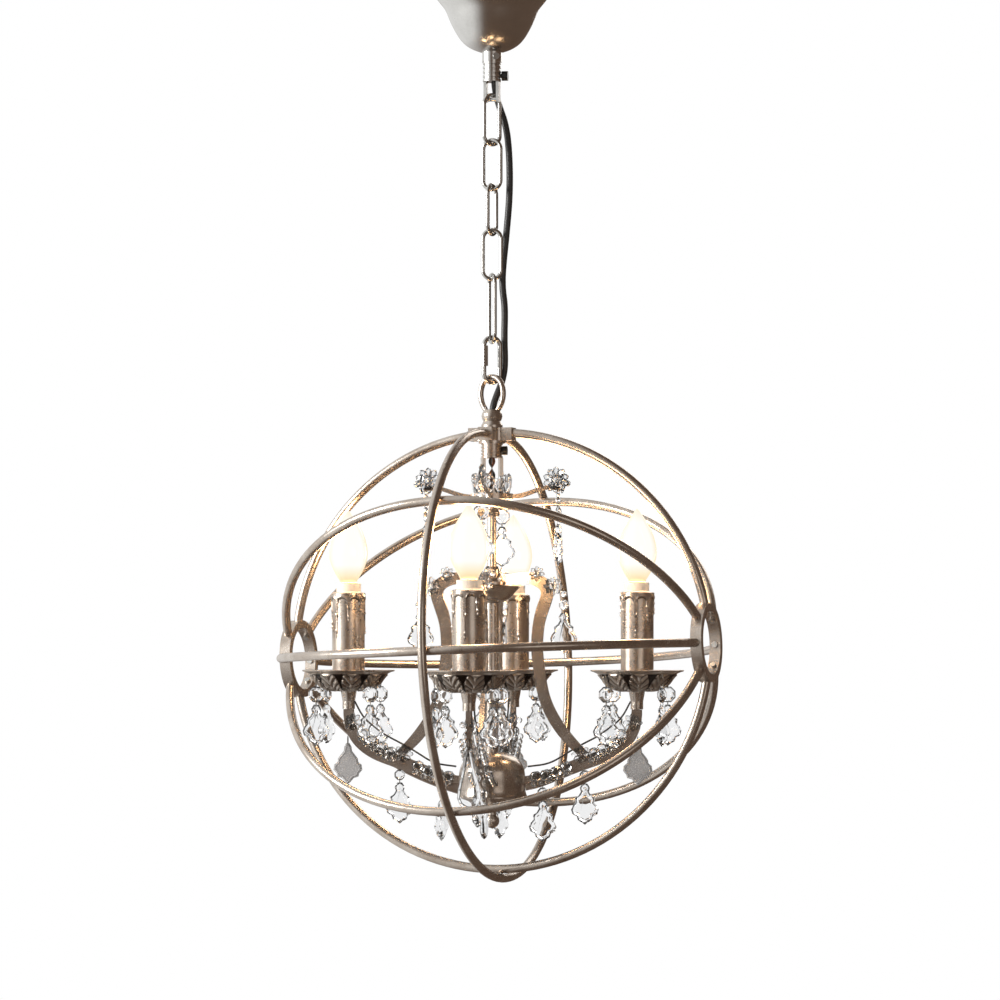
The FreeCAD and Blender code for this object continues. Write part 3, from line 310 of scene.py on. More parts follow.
def etched_glass():
    """The satin face of the large tip pendants."""
    material, tree, shader = new_material(
        "etched_glass", Transmission_Weight=0.45, IOR=glass_ior, Base_Color=(0.56, 0.54, 0.53, 1))
    frost = object_noise(tree, Scale=900.0, Detail=2.0)
    spread = add_node(tree, "ShaderNodeMapRange", To_Min=0.18, To_Max=0.34, Value=frost)
    bump = add_node(tree, "ShaderNodeBump", Strength=0.3, Distance=0.1 * mm, Height=frost)
    feed(tree, shader, Roughness=spread.outputs[0], Normal=bump.outputs[0])
    return material


def lit_glass(bottom, top):
    """A glowing lamp envelope: white in front, warm where the glass turns away and at its ends."""
    material, tree, shader = new_material(
        "lit_glass", Base_Color=(0.04, 0.03, 0.02, 1), Roughness=0.15)
    spot = add_node(tree, "ShaderNodeTexCoord").outputs["Object"]
    height = add_node(tree, "ShaderNodeSeparateXYZ", spot).outputs["Z"]
    span = add_node(tree, "ShaderNodeMapRange", From_Min=bottom, From_Max=top, Value=height)
    ramp = add_node(tree, "ShaderNodeValToRGB", Fac=span.outputs[0])
    ramp.color_ramp.elements.remove(ramp.color_ramp.elements[1])
    ramp.color_ramp.elements[0].position, ramp.color_ramp.elements[0].color = lamp_stops[0]
    for position, shade in lamp_stops[1:]:
        ramp.color_ramp.elements.new(position).color = shade
    side = add_node(tree, "ShaderNodeLayerWeight", Blend=0.4)
    turned = add_node(tree, "ShaderNodeMapRange", From_Min=rim_from, From_Max=rim_to,
                      Value=side.outputs["Facing"])
    face = color_mix(tree, turned.outputs[0], ramp.outputs["Color"], lamp_rim)
    seen = add_node(tree, "ShaderNodeLightPath").outputs["Is Camera Ray"]
    strength = add_node(tree, "ShaderNodeMapRange", To_Min=lamp_cast, To_Max=lamp_seen, Value=seen)
    feed(tree, shader, Emission_Color=color_mix(tree, seen, lamp_warmth, face),
         Emission_Strength=strength.outputs[0])
    return material


clear_crystal = cut_glass()
satin_crystal = etched_glass()

# %% [markdown]
# ## The supply cord
# A black round flex leaves the grip under the canopy beside the first chain link, runs down
# beside the chain and dives into the hanging loop from behind. Its line is one smooth NURBS
# curve through the air. The chain has seven places where it can bend, so the cord is shown as
# seven stretches that meet half way along each link, one for each of those places.

# %% The cord's line
cord_diameter = 6.0 * mm
cord_route = (
    (1.5, 3.8, -76.0),
    (1.5, 3.9, -87.5),
    (3.8, 10.9, -102.0),
    (11.2, 11.4, -122.0),
    (14.2, 11.2, -148.0),
    (14.7, 10.6, -184.0),
    (11.5, 9.8, -222.0),
    (8.5, 9.4, -250.0),
    (7.9, 9.5, -268.0),
    (10.4, 10.1, -286.0),
    (9.6, 10.1, -314.0),
    (10.5, 10.1, -338.0),
    (8.2, 9.3, -352.0),
    (3.7, 5.6, -364.5),
    (0.3, 0.6, -376.5),
    (0.0, 0.0, -388.0),
)


def curve_mesh(name, kind, points, **fields):
    """The mesh of a curve with one spline through points."""
    data = bpy.data.curves.new(name, "CURVE")
    data.dimensions = "3D"
    for field, value in fields.items():
        setattr(data, field, value)
    spline = data.splines.new(kind)
    spline.points.add(len(points) - 1)
    for point, spot in zip(spline.points, points):
        point.co = (*spot, 1)
    if kind == "NURBS":
        spline.order_u = 3
        spline.use_endpoint_u = True
    holder = add_object(name, data)
    mesh = bpy.data.meshes.new_from_object(holder)
    bpy.data.objects.remove(holder)
    return mesh


def line_of(points):
    """The points along the smooth NURBS line of a route."""
    places = [[c * mm for c in point] for point in points]
    mesh = curve_mesh("route", "NURBS", places, resolution_u=10)
    found = [v.co.copy() for v in mesh.vertices]
    bpy.data.meshes.remove(mesh)
    return found


def run_length(points):
    """The length of a line of points."""
    return sum((b - a).length for a, b in zip(points, points[1:]))


cord_line = line_of(cord_route)
print("supply cord %.3f m long" % run_length(cord_line))

# %% [markdown]
# A stretch is a round tube along part of that line. The curve tool makes it: a straight spline
# through the points with a round bevel and capped ends, turned into a mesh.

# %% Tubes along a line


def tube_along(name, points, radius, material, sides=6):
    """A mesh tube about a line of points, with closed ends."""
    mesh = curve_mesh(name, "POLY", points, bevel_depth=radius, bevel_resolution=sides,
                      use_fill_caps=True)
    mesh.name = name
    mesh.materials.clear()
    mesh.materials.append(material)
    mesh.shade_smooth()
    return add_object(name, mesh)


def joint_height(name):
    """The height of a joint's axis."""
    return next(j["pos_m"][2] for j in frame["joints"] if j["name"] == name)


cord_joints = ["link_%d_swing" % (i + 1) for i in range(5)] + ["quick_link_swing", "loop_swing"]


def cord_stretches():
    """The cord as one tube per joint of the chain, cut half way between the joints."""
    heights = [joint_height(name) for name in cord_joints]
    cuts = [(a + b) / 2 for a, b in zip(heights, heights[1:])]
    places = [0]
    for cut in cuts:
        places.append(next(i for i, p in enumerate(cord_line) if p.z < cut))
    places.append(len(cord_line) - 1)
    for i, name in enumerate(cord_joints):
        points = cord_line[places[i]:places[i + 1] + 1]
        piece = tube_along("supply_cord_%d" % (i + 1), points, cord_diameter / 2, cord_rubber)
        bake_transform(piece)
        if i == 0:
            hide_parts("supply_cord")
        print(piece.name, "%.1f mm" % (run_length(points) / mm))


cord_stretches()

# %% [markdown]
# ## Helpers for modelling
# Most round pieces start as a few points that are spun about an upright axis. Most cut glass
# starts as one flat outline that is inset step by step, which leaves the facets that a grinder
# would cut. A finished bmesh becomes a piece with its place in its mesh, and rides on a body.

# %% Modelling helpers
smooth_limit = math.radians(38)
merge_distance = 1e-6
sliver = 1e-7


def mesh_from(name, bm):
    """A mesh out of a bmesh."""
    mesh = bpy.data.meshes.new(name)
    bm.to_mesh(mesh)
    bm.free()
    return mesh


def piece_from(name, bm, material, body, smooth=True, replaces=None):
    """A piece of the object out of a bmesh, riding on a body."""
    mesh = mesh_from(name, bm)
    mesh.materials.append(material)
    if smooth:
        mesh.shade_smooth()
        mesh.set_sharp_from_angle(angle=smooth_limit)
    piece = add_object(name, mesh)
    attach(piece, body)
    if replaces:
        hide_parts(replaces)
    print(name, len(mesh.polygons), "faces")
    return piece


def smooth_line(points, steps=6):
    """More points along a smooth line through (radius, height) points."""
    ends = [points[0]] + list(points) + [points[-1]]
    found = []
    for before, start, end, after in zip(ends, ends[1:], ends[2:], ends[3:]):
        for i in range(steps):
            t = i / steps
            found.append(tuple(
                ((2 * b) + (c - a) * t + (2 * a - 5 * b + 4 * c - d) * t**2
                 + (3 * b - a - 3 * c + d) * t**3) / 2
                for a, b, c, d in zip(before, start, end, after)))
    return found + [points[-1]]


def spun(points, steps=64, unit=mm):
    """A bmesh spun about Z from (radius, height) points. Points on the axis close it."""
    bm = bmesh.new()
    verts = [bm.verts.new((r * unit, 0, z * unit)) for r, z in points]
    edges = [bm.edges.new(pair) for pair in zip(verts, verts[1:])]
    bmesh.ops.spin(bm, geom=verts + edges, cent=(0, 0, 0), axis=(0, 0, 1), angle=full_turn,
                   steps=steps, use_merge=True)
    bmesh.ops.remove_doubles(bm, verts=bm.verts, dist=merge_distance)
    bmesh.ops.dissolve_degenerate(bm, dist=sliver, edges=bm.edges)
    bmesh.ops.recalc_face_normals(bm, faces=bm.faces)
    return bm


def place(bm, template, matrix):
    """Adds a template to a bmesh at a place."""
    before = len(bm.verts)
    bm.from_mesh(template)
    bm.verts.ensure_lookup_table()
    bmesh.ops.transform(bm, matrix=matrix, verts=bm.verts[before:])


def turn_z(angle):
    """A turn about the upright axis, in degrees."""
    return Matrix.Rotation(math.radians(angle), 4, "Z")


def shift(x, y, z):
    """A move, in millimetres."""
    return Matrix.Translation((x * mm, y * mm, z * mm))


orb_place = Matrix.Translation((0, 0, orb_z))
arm_places = [orb_place @ turn_z(90 * turn) for turn in range(arm_count)]

# %% [markdown]
# ## Cut glass shapes
# Seven flat cuts are used: octagons in two sizes, a scalloped pendant, a spade, an icicle, a long
# spear and a petal. Each starts as a flat outline. Insetting the face with a little depth leaves a
# ring of sloping facets, and mirroring the front gives the back.

# %% Faceted shapes


def cut_template(name, outline, cuts, height):
    """Cut glass from a flat (x, z) outline and (inset, depth) cuts, mirrored, hung from z = 0."""
    bm = bmesh.new()
    verts = [bm.verts.new((x * mm, 0, z * mm)) for x, z in outline]
    face = bm.faces.new(verts)
    bm.normal_update()
    if face.normal.y > 0:
        face.normal_flip()
    for inset, depth in cuts:
        bmesh.ops.inset_individual(bm, faces=[face], thickness=inset * mm, depth=depth * mm,
                                   use_even_offset=True)
    top = max(v.co.z for v in bm.verts)
    bmesh.ops.translate(bm, verts=bm.verts, vec=(0, 0, -top))
    bmesh.ops.mirror(bm, geom=bm.verts[:] + bm.edges[:] + bm.faces[:], matrix=Matrix.Identity(4),
                     merge_dist=merge_distance, axis="Y")
    bmesh.ops.remove_doubles(bm, verts=bm.verts, dist=merge_distance)
    bmesh.ops.recalc_face_normals(bm, faces=bm.faces)
    mesh = mesh_from(name, bm)
    print(name, len(mesh.polygons), "facets,", height, "mm tall")
    return mesh, height


def octagon_outline(width):
    """Eight equal sides, flat side up."""
    sides = 8
    radius = width / 2 / math.cos(math.pi / sides)
    angles = [full_turn * (i + 0.5) / sides for i in range(sides)]
    return [(radius * math.cos(angle), radius * math.sin(angle)) for angle in angles]


def both_halves(right):
    """A closed outline from its right side, given from top to bottom."""
    return list(right) + [(-x, z) for x, z in reversed(right) if x > 0.01]


scalloped_side = (
    (2.2, 0), (4.6, -4), (3.6, -7.5), (5.4, -10.5), (8.8, -13), (8.4, -17), (10.6, -19.5),
    (12.4, -23.5), (11.2, -27.5), (7.4, -29.6), (6.2, -33), (2.8, -34.8), (0.0, -37.0))
spade_side = (
    (1.6, 0), (3.4, -3.5), (3.8, -7.0), (6.6, -10.5), (9.2, -14.0), (9.6, -17.0), (12.6, -19.5),
    (13.2, -24.0), (10.4, -27.2), (9.6, -30.2), (5.4, -31.4), (2.2, -35.2), (0.0, -37.0))
icicle_side = (
    (1.5, 0), (2.8, -4), (4.6, -13), (6.2, -22), (6.0, -26), (3.4, -30.5), (0.0, -33.0))
spear_side = (
    (1.8, 0), (3.0, -5), (5.5, -18), (9.5, -36), (10.5, -44), (8.0, -50), (3.5, -53), (0.0, -54.0))
petal_side = ((0.9, 0), (2.6, -3.0), (3.1, -6.0), (2.0, -9.0), (0.0, -10.5))

octagon = cut_template("octagon_cut", octagon_outline(14), [(1.8, 1.7), (1.9, 0.9)], 14)
small_octagon = cut_template(
    "small_octagon_cut", octagon_outline(9.5), [(1.3, 1.4), (1.3, 0.7)], 9.5)
scalloped = cut_template(
    "scalloped_cut", both_halves(scalloped_side), [(1.1, 1.4), (1.6, 1.5), (0.9, 0.25)], 37)
spade = cut_template(
    "spade_cut", both_halves(spade_side), [(0.9, 1.5), (0.9, 0.9), (0.5, -0.4)], 37)
icicle = cut_template("icicle_cut", both_halves(icicle_side), [(0.9, 1.4), (0.9, 1.1)], 33)
spear = cut_template("spear_cut", both_halves(spear_side), [(1.2, 1.8), (1.3, 1.4)], 54)
petal = cut_template("petal_cut", both_halves(petal_side), [(0.8, 1.1)], 10.5)

# %% [markdown]
# A faceted ball comes from an icosphere. A wire link is a small torus: a circle spun about an
# axis outside it. A rosette is a ring of petals round a ball, with their points outwards, and the
# petals lean a little forward like those of a flower. The large one has ten petals, others eight.

# %% Balls, wire links and rosettes
petal_forward = 1.2
petal_gap = 0.12
petal_fill = 0.95
button_forward = 3.4


def ball_template(name, radius, rings=2):
    """A faceted glass ball that hangs from z = 0."""
    bm = bmesh.new()
    bmesh.ops.create_icosphere(bm, subdivisions=rings, radius=radius * mm)
    bmesh.ops.translate(bm, verts=bm.verts, vec=(0, 0, -radius * mm))
    return mesh_from(name, bm), 2 * radius


def link_template(name, radius, stretch, wire, steps=12, sides=6):
    """A small upright wire link that hangs from z = 0, facing along Y."""
    bm = bmesh.new()
    bmesh.ops.create_circle(bm, segments=sides, radius=wire * mm)
    bmesh.ops.translate(bm, verts=bm.verts, vec=(radius * mm, 0, 0))
    bmesh.ops.spin(bm, geom=bm.verts[:] + bm.edges[:], cent=(0, 0, 0), axis=(0, 1, 0),
                   angle=full_turn, steps=steps, use_merge=True)
    bmesh.ops.remove_doubles(bm, verts=bm.verts, dist=merge_distance)
    bmesh.ops.scale(bm, verts=bm.verts, vec=(1, 1, stretch))
    bmesh.ops.translate(bm, verts=bm.verts, vec=(0, 0, -radius * stretch * mm))
    bmesh.ops.recalc_face_normals(bm, faces=bm.faces)
    return mesh_from(name, bm), 2 * radius * stretch


def rosette_template(name, radius, count=8, lean=22):
    """Petals round a ball, facing -Y, with the middle at the origin."""
    bm = bmesh.new()
    size = radius / petal[1]
    for i in range(count):
        petal_turn = Matrix.Rotation(full_turn * i / count, 4, "Y")
        petal_lean = Matrix.Rotation(math.radians(lean), 4, "X")
        out = Matrix.Translation((0, -petal_forward * mm, -petal_gap * radius * mm))
        place(bm, petal[0], petal_turn @ out @ petal_lean @ Matrix.Scale(size * petal_fill, 4))
    place(bm, ball[0], shift(0, -button_forward, ball[1] / 2))
    return mesh_from(name, bm)


ball = ball_template("ball_cut", 2.9)
large_ball = ball_template("large_ball_cut", 4.6)
wire_link = link_template("wire_link", 1.3, 1.5, 0.32)
hook_link = link_template("hook_link", 2.0, 3.0, 0.42)
tip_link = link_template("tip_link", 1.5, 2.4, 0.4)
large_rosette = rosette_template("large_rosette", 12.0, 10)
rosette = rosette_template("rosette", 9.0)
small_rosette = rosette_template("small_rosette", 7.0)

# %% [markdown]
# ## Hanging the glass
# A string of glass is a list of cuts. Each cut hangs on a wire link below the one before it. Glass
# and wire go into two meshes, because they have different finishes.

# %% Strings and swags
link_overlap = 0.7
swag_slack = 1.04


def hang(glass, wire, anchor, facing, cuts, link=None):
    """Hangs cuts one under another from an anchor matrix, turned by an angle in degrees."""
    z = 0.0
    for i, (template, height) in enumerate(cuts):
        link_shape, link_height = link or wire_link if i == 0 else wire_link
        place(wire, link_shape, anchor @ turn_z(facing + 90) @ shift(0, 0, z + link_overlap))
        z -= link_height - 2 * link_overlap
        place(glass, template, anchor @ turn_z(facing) @ shift(0, 0, z + link_overlap / 2))
        z -= height - link_overlap / 2


def hung_pieces(name, glass, wire, replaces):
    """The glass and the wires of a set of strings, as two pieces on the orb."""
    piece_from(name + "s", glass, clear_crystal, "orb", smooth=False, replaces=replaces)
    piece_from(name + "_wires", wire, crystal_wire, "orb")


def swag(glass, wire, start, end, sag, cut, gap):
    """Lays cuts side by side along a hanging line between two (x, y, z) points in millimetres."""
    template, size = cut
    start, end = Vector(start), Vector(end)
    count = max(2, round((end - start).length * swag_slack / (size + gap)))
    flat = max((end - start).xy.length, 0.001)
    heading = math.degrees(math.atan2(end.y - start.y, end.x - start.x))
    last = None
    for i in range(count):
        share = (i + 0.5) / count
        spot = start.lerp(end, share)
        spot.z -= 4 * sag * share * (1 - share)
        slope = (end.z - start.z) / flat - 4 * sag * (1 - 2 * share) / flat
        along = Matrix.Rotation(-math.atan(slope), 4, "Y")
        turn = turn_z(heading) @ along
        place(glass, template, shift(*spot) @ turn @ shift(0, 0, size / 2))
        if last is not None:
            middle = (last + spot) / 2
            place(wire, wire_link[0], shift(*middle) @ turn @ Matrix.Rotation(quarter_turn, 4, "Y")
                  @ shift(0, 0, wire_link[1] / 2))
        last = spot


# %% [markdown]
# ## Pan drops
# Four hooks under the rim of each drip pan hold an octagon and a scalloped pendant. They hang
# free, so each faces its own way.

# %% Pan drops
arm_reach = 131.0
pan_hook_reach = 35.0
pan_hook_height = -21.6
pan_hooks = ((45, 0), (135, 15), (225, -10), (315, 65))


def pan_drops():
    """Octagon and scalloped pendant under each pan hook."""
    glass, wire = bmesh.new(), bmesh.new()
    for turn, arm in enumerate(arm_places):
        for hook, facing in pan_hooks:
            anchor = arm @ shift(arm_reach, 0, 0) @ turn_z(hook) @ shift(
                pan_hook_reach, 0, pan_hook_height)
            facing_there = facing - 90 * turn - hook
            hang(glass, wire, anchor, facing_there, [octagon, scalloped], link=hook_link)
    hung_pieces("pan_drop", glass, wire, "pan_pendants")


pan_drops()

# %% [markdown]
# ## Garlands and rosettes along the arms
# A rosette covers the foot of each candle collar on both faces of the arm, and another sits where
# the arm turns level. Garlands run between them and on to the bell: a row of octagons, and a row
# of balls in front of it and a little lower.

# %% Arm garlands
arm_face = 2.35
tip_rosette_place = (127.0, -64.0)
mid_rosette_place = (80.5, -92.5)
rosette_out = 0.4
garland_runs = ((((121.0, -71.0), (88.0, -93.0)), 2.0), (((72.0, -101.0), (35.0, -113.0)), 2.5))
garland_rows = ((small_octagon, 0.6, 3.0, 0.0), (ball, 1.6, 6.2, -5.5))


def arm_garlands():
    """Rosettes and garlands on both faces of every arm."""
    glass, wire = bmesh.new(), bmesh.new()
    for arm in arm_places:
        for side in (-1, 1):
            y = side * (arm_face + rosette_out)
            flip = turn_z(0 if side < 0 else 180)
            for x, z in (tip_rosette_place, mid_rosette_place):
                place(glass, rosette, arm @ shift(x, y, z) @ flip)
            row_glass, row_wire = bmesh.new(), bmesh.new()
            for (start, end), sag in garland_runs:
                for cut, gap, out, drop in garland_rows:
                    y_row = side * (arm_face + out)
                    swag(row_glass, row_wire, (start[0], y_row, start[1] + drop),
                         (end[0], y_row, end[1] + drop), sag, cut, gap)
            for rows, target in ((row_glass, glass), (row_wire, wire)):
                row = mesh_from("row", rows)
                place(target, row, arm)
                bpy.data.meshes.remove(row)
    hung_pieces("arm_swag", glass, wire, "arm_garlands")


arm_garlands()

# %% [markdown]
# ## Pendants under the arms
# Each arm tip carries a large pendant that swings on its own pin: satin spades on three arms, and
# a long clear spear on the front one.

# %% Tip pendants
tip_reach = 131.5
tip_top = -77.6
front_arm = 3


def tip_pendants():
    """The swinging pendant at the end of each arm, on its own body."""
    for i, arm in enumerate(arm_places):
        glass, wire = bmesh.new(), bmesh.new()
        anchor = arm @ shift(tip_reach, 0, tip_top)
        hang(glass, wire, anchor, -90 * i, [spear if i == front_arm else spade], link=tip_link)
        body = "tip_%d" % (i + 1)
        finish = clear_crystal if i == front_arm else satin_crystal
        piece_from("tip_glass_%d" % (i + 1), glass, finish, body, smooth=False,
                   replaces="tip_pendant_%d" % (i + 1))
        piece_from("tip_wire_%d" % (i + 1), wire, crystal_wire, body)


tip_pendants()

# %% [markdown]
# Two strings of glass hang under the level part of each arm. Each of them has come to rest at its
# own angle, so the angles are counted from the front of the whole object.

# %% Strings under the arms
mid_string_place = (84.0, -104.5)
inner_string_place = (46.0, -120.0)
mid_facings = (8, 70, 5, 75)
inner_facings = (5, 60, 75, 80)


def arm_strings():
    """The strings under the level part of every arm."""
    glass, wire = bmesh.new(), bmesh.new()
    for turn, arm in enumerate(arm_places):
        for (x, z), facing, cuts in (
                (mid_string_place, mid_facings[turn], [small_octagon, scalloped]),
                (inner_string_place, inner_facings[turn],
                 [small_octagon, icicle if turn == front_arm else scalloped])):
            hang(glass, wire, arm @ shift(x, 0, z), facing - 90 * turn, cuts)
    hung_pieces("arm_drop", glass, wire, "arm_pendants")


arm_strings()

# %% [markdown]
# ## Glass on the lyre scrolls
# The four flat scrolls bulge outwards at their shoulders. A rosette sits on both faces of each
# shoulder, with a smaller one further in, and a string with a large ball hangs at its outer side.

# %% Scroll glass
shoulder_rosette = (57.7, 58.0)
shoulder_string = (65.0, 56.0)
shoulder_face = 3.4
rosette_inset = 2.5
small_rosette_in, small_rosette_up = 17, 11


def scroll_glass():
    """The rosettes and the string at the shoulder of every scroll."""
    glass, wire = bmesh.new(), bmesh.new()
    for arm in arm_places:
        x, z = shoulder_rosette
        for side, flip in ((-1, 0), (1, 180)):
            y = shoulder_face * side
            place(glass, rosette, arm @ shift(x - rosette_inset, y, z) @ turn_z(flip))
            place(glass, small_rosette,
                  arm @ shift(x - small_rosette_in, y, z + small_rosette_up) @ turn_z(flip))
        hang(glass, wire, arm @ shift(shoulder_string[0], 0, shoulder_string[1]), 0,
             [ball, large_ball, scalloped])
    hung_pieces("shoulder_drop", glass, wire, "scroll_crystals")


scroll_glass()

# %% [markdown]
# ## The crown
# Ten upright glass leaves stand in a ring round the yoke, and four small arms reach out from
# under them. Each arm ends in a large round rosette with a string of glass below it.

# %% Crown glass
crown_ring = 14.5
leaf_count = 10
crown_tip = (60.0, 153.0)
crown_string = (60.0, 143.5)
short_leaf, tall_leaf = 1.5, 1.75
leaf_lean = 8
crown_face = 1.9
large_rosette_in = 2
end_rosette_out, end_rosette_down = 5, 3


def crown_glass():
    """Upright leaves, rosettes and strings of the crown."""
    leaves = bmesh.new()
    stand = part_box("crown_crystals")[0].z / mm
    for i in range(leaf_count):
        upright = Matrix.Rotation(math.pi, 4, "X")
        lean = Matrix.Rotation(math.radians(leaf_lean), 4, "X")
        tall = Matrix.Scale(tall_leaf if i % 2 else short_leaf, 4)
        place(leaves, petal[0], turn_z(360 * (i + 0.5) / leaf_count) @ shift(crown_ring, 0, stand)
              @ turn_z(90) @ lean @ upright @ tall)
    piece_from("crown_leaves", leaves, clear_crystal, "orb", smooth=False,
               replaces="crown_crystals")
    glass, wire = bmesh.new(), bmesh.new()
    for arm in arm_places:
        x, z = crown_tip
        for flip in (0, 180):
            place(glass, large_rosette, arm @ shift(x - large_rosette_in, 0, z) @ turn_z(flip)
                  @ shift(0, -crown_face, 0))
        place(glass, rosette,
              arm @ shift(x + end_rosette_out, 0, z - end_rosette_down) @ turn_z(90))
        hang(glass, wire, arm @ shift(crown_string[0], 0, crown_string[1]), 90,
             [small_octagon, octagon, scalloped])
    hung_pieces("crown_drop", glass, wire, "crown_pendants")


crown_glass()

# %% [markdown]
# ## Candle covers
# Each cover is a tube with wax modelled on it: a skirt of wax with round arches at the top, and
# runs of different lengths that end in a thick drop. The tube is a spun grid. Its outer points
# then move outwards by a wax height, which is a formula of their angle and their height. A float
# attribute paints shade as a dark line in the crease just below the edge of the wax.

# %% Candle covers
sleeve_radius = 15.0
sleeve_bore = 13.2
sleeve_top = 52.0
sleeve_bottom = -32.3
arch_rise = 4.2
arch_foot = 6.5
wax_runs = (9, 26, 13, 32, 11, 21, 29, 15)
run_half_width = 0.085
wax_height = 1.2
wax_round = 0.9
edge_inside, edge_width, edge_share = 1.3, 1.1, 0.45
shade_below, shade_width = 0.35, 0.55
tube_share = 0.3
cover_rows, cover_steps = 120, 160
cover_turn = 73


def wax_reach(angle):
    """How far the wax comes down from the top at an angle: arches, with a run between each two."""
    place_on = (angle / full_turn) % 1 * len(wax_runs)
    across = 2 * (place_on % 1) - 1
    reach = arch_rise + arch_foot * (1 - math.sqrt(1 - across**2))
    nearest = round(place_on) % len(wax_runs)
    off = (place_on - round(place_on)) / len(wax_runs) * full_turn
    return reach + wax_runs[nearest] * math.exp(-((off / run_half_width) ** 4))


def wax_at(angle, down):
    """The height of the wax at an angle and a distance below the top."""
    inside = wax_reach(angle) - down
    if inside <= 0:
        return 0.0
    edge = math.exp(-((inside - edge_inside) / edge_width) ** 2)
    full = 1 - edge_share + edge_share * edge
    return min(1.0, inside / wax_round) ** 0.5 * full * wax_height


def wax_shade(angle, down):
    """Painted shade: a dark line in the crease along the lower edge of the wax."""
    inside = wax_reach(angle) - down
    if down <= arch_rise / 2:
        return 0.0
    return math.exp(-((inside + shade_below) / shade_width) ** 2)


def on_every_arm(name, template, start, step, replaces):
    """Copies of a relief shape at every arm's end, each turned further than the last."""
    bm = bmesh.new()
    bm.verts.layers.float.new("painted_shade")
    for turn, arm in enumerate(arm_places):
        place(bm, template, arm @ shift(arm_reach, 0, 0) @ turn_z(start + step * turn))
    piece_from(name, bm, antique_relief, "orb", replaces=replaces)


def candle_covers():
    """The four candle covers with their wax."""
    tall = sleeve_top - sleeve_bottom
    outer = [(sleeve_radius - wax_height * tube_share, sleeve_top - tall * i / cover_rows)
             for i in range(cover_rows + 1)]
    profile = [(sleeve_bore, sleeve_bottom), (sleeve_bore, sleeve_top + 0.2)] + [
        (sleeve_bore + 0.5, sleeve_top + 0.7)] + outer
    bm = spun(profile + [profile[0]], steps=cover_steps)
    limit = (sleeve_bore + sleeve_radius) / 2 * mm
    painted_shade = bm.verts.layers.float.new("painted_shade")
    for vert in bm.verts:
        out = vert.co.xy.length
        if out > limit:
            down = sleeve_top - vert.co.z / mm
            angle = math.atan2(vert.co.y, vert.co.x)
            vert.co.xy *= (out + wax_at(angle, down) * mm) / out
            # painted shade in the crease under the wax edge
            vert[painted_shade] = wax_shade(angle, down)
    cover = mesh_from("candle_cover", bm)
    on_every_arm("wax_candle_covers", cover, 0, cover_turn, "candle_sleeves")


candle_covers()

# %% [markdown]
# ## Drip pans
# The pans are cast with a ring of acanthus leaves under the bowl. The bowl is spun with many
# steps, and the points of its underside move out by a leaf height: ribs that fan out from the
# middle line of each leaf, fading at the collar and at the rim. A float attribute paints shade
# into the recesses: the lower the relief, the darker the painted shade.

# %% Drip pans
pan_under = (
    (5.2, -35.0), (14.0, -34.9), (20.0, -33.8), (24.5, -31.8), (28.6, -28.4), (31.4, -24.6),
    (34.2, -21.4), (38.0, -19.2), (41.4, -18.2))
pan_over = (
    (41.7, -17.6), (41.2, -16.9), (37.0, -17.6), (33.4, -20.0), (30.0, -24.8), (22.6, -30.7),
    (14.0, -33.2), (5.2, -33.4))
leaf_total = 9
leaf_depth = 1.5
leaf_ribs = 4.5
relief_from, relief_to = 12.0, 35.0
leaf_gap, leaf_tip, tip_from = 0.12, 0.35, 0.72
spine_width, spine_height = 0.13, 0.95
rib_slant, rib_floor, rib_rise = 0.42, 0.15, 0.75
pan_steps = 252
pan_start, pan_turn = 20, 33


def leaf_height(angle, radius):
    """The leaf relief at an angle and a radius of the bowl, from 0 in its recesses to 1."""
    share = (radius - relief_from) / (relief_to - relief_from)
    if not 0 < share < 1:
        return 0.0
    across = abs((angle / full_turn * leaf_total) % 1 * 2 - 1)
    outline = 1 - across > leaf_gap + leaf_tip * max(0, share - tip_from) / (1 - tip_from)
    spine = math.exp(-((across / spine_width) ** 2))
    rib = 0.5 + 0.5 * math.cos(full_turn * leaf_ribs * (share - rib_slant * across**0.8))
    return max(spine_height * spine, rib_floor + rib_rise * rib**0.8 if outline else 0.0)


def drip_pans():
    """The four embossed drip pans."""
    under = smooth_line(pan_under, 9)
    profile = under + smooth_line(pan_over, 2)
    bm = spun(profile + [profile[0]], steps=pan_steps)
    bm.normal_update()
    painted_shade = bm.verts.layers.float.new("painted_shade")
    moves = []
    for vert in bm.verts:
        radius = vert.co.xy.length / mm
        if vert.normal.z < 0 and relief_from < radius < relief_to:
            height = leaf_height(math.atan2(vert.co.y, vert.co.x), radius)
            moves.append((vert, vert.normal * height * leaf_depth * mm))
            # painted shade, darkest where the relief is lowest
            vert[painted_shade] = (1 - height) ** 1.5
    for vert, move in moves:
        vert.co += move
    pan = mesh_from("drip_pan", bm)
    on_every_arm("embossed_drip_pans", pan, pan_start, pan_turn, "drip_pans")


drip_pans()

# %% [markdown]
# ## Lamps
# A candle lamp is a blown envelope on a brass cap with a rolled thread. All four are lit, so the
# envelope itself glows.

# %% Lamps
holder_top = 61.0
lamp_outline = (
    (7.6, 0.6), (8.0, 2.2), (9.6, 4.6), (12.2, 9.0), (15.0, 15.0), (17.0, 21.5), (17.5, 27.0),
    (16.9, 33.0), (15.2, 40.0), (12.3, 47.0), (8.6, 53.5), (5.0, 59.2), (2.6, 62.9), (1.1, 65.0),
    (0.0, 65.6))
glow_height = 67 * mm
cap_radius = 6.9
cap_length = 21.5
thread_pitch = 2.8
thread_depth = 0.5
contact_height = 6
lamp_foot = orb_z + holder_top * mm
glowing = lit_glass(lamp_foot, lamp_foot + glow_height)


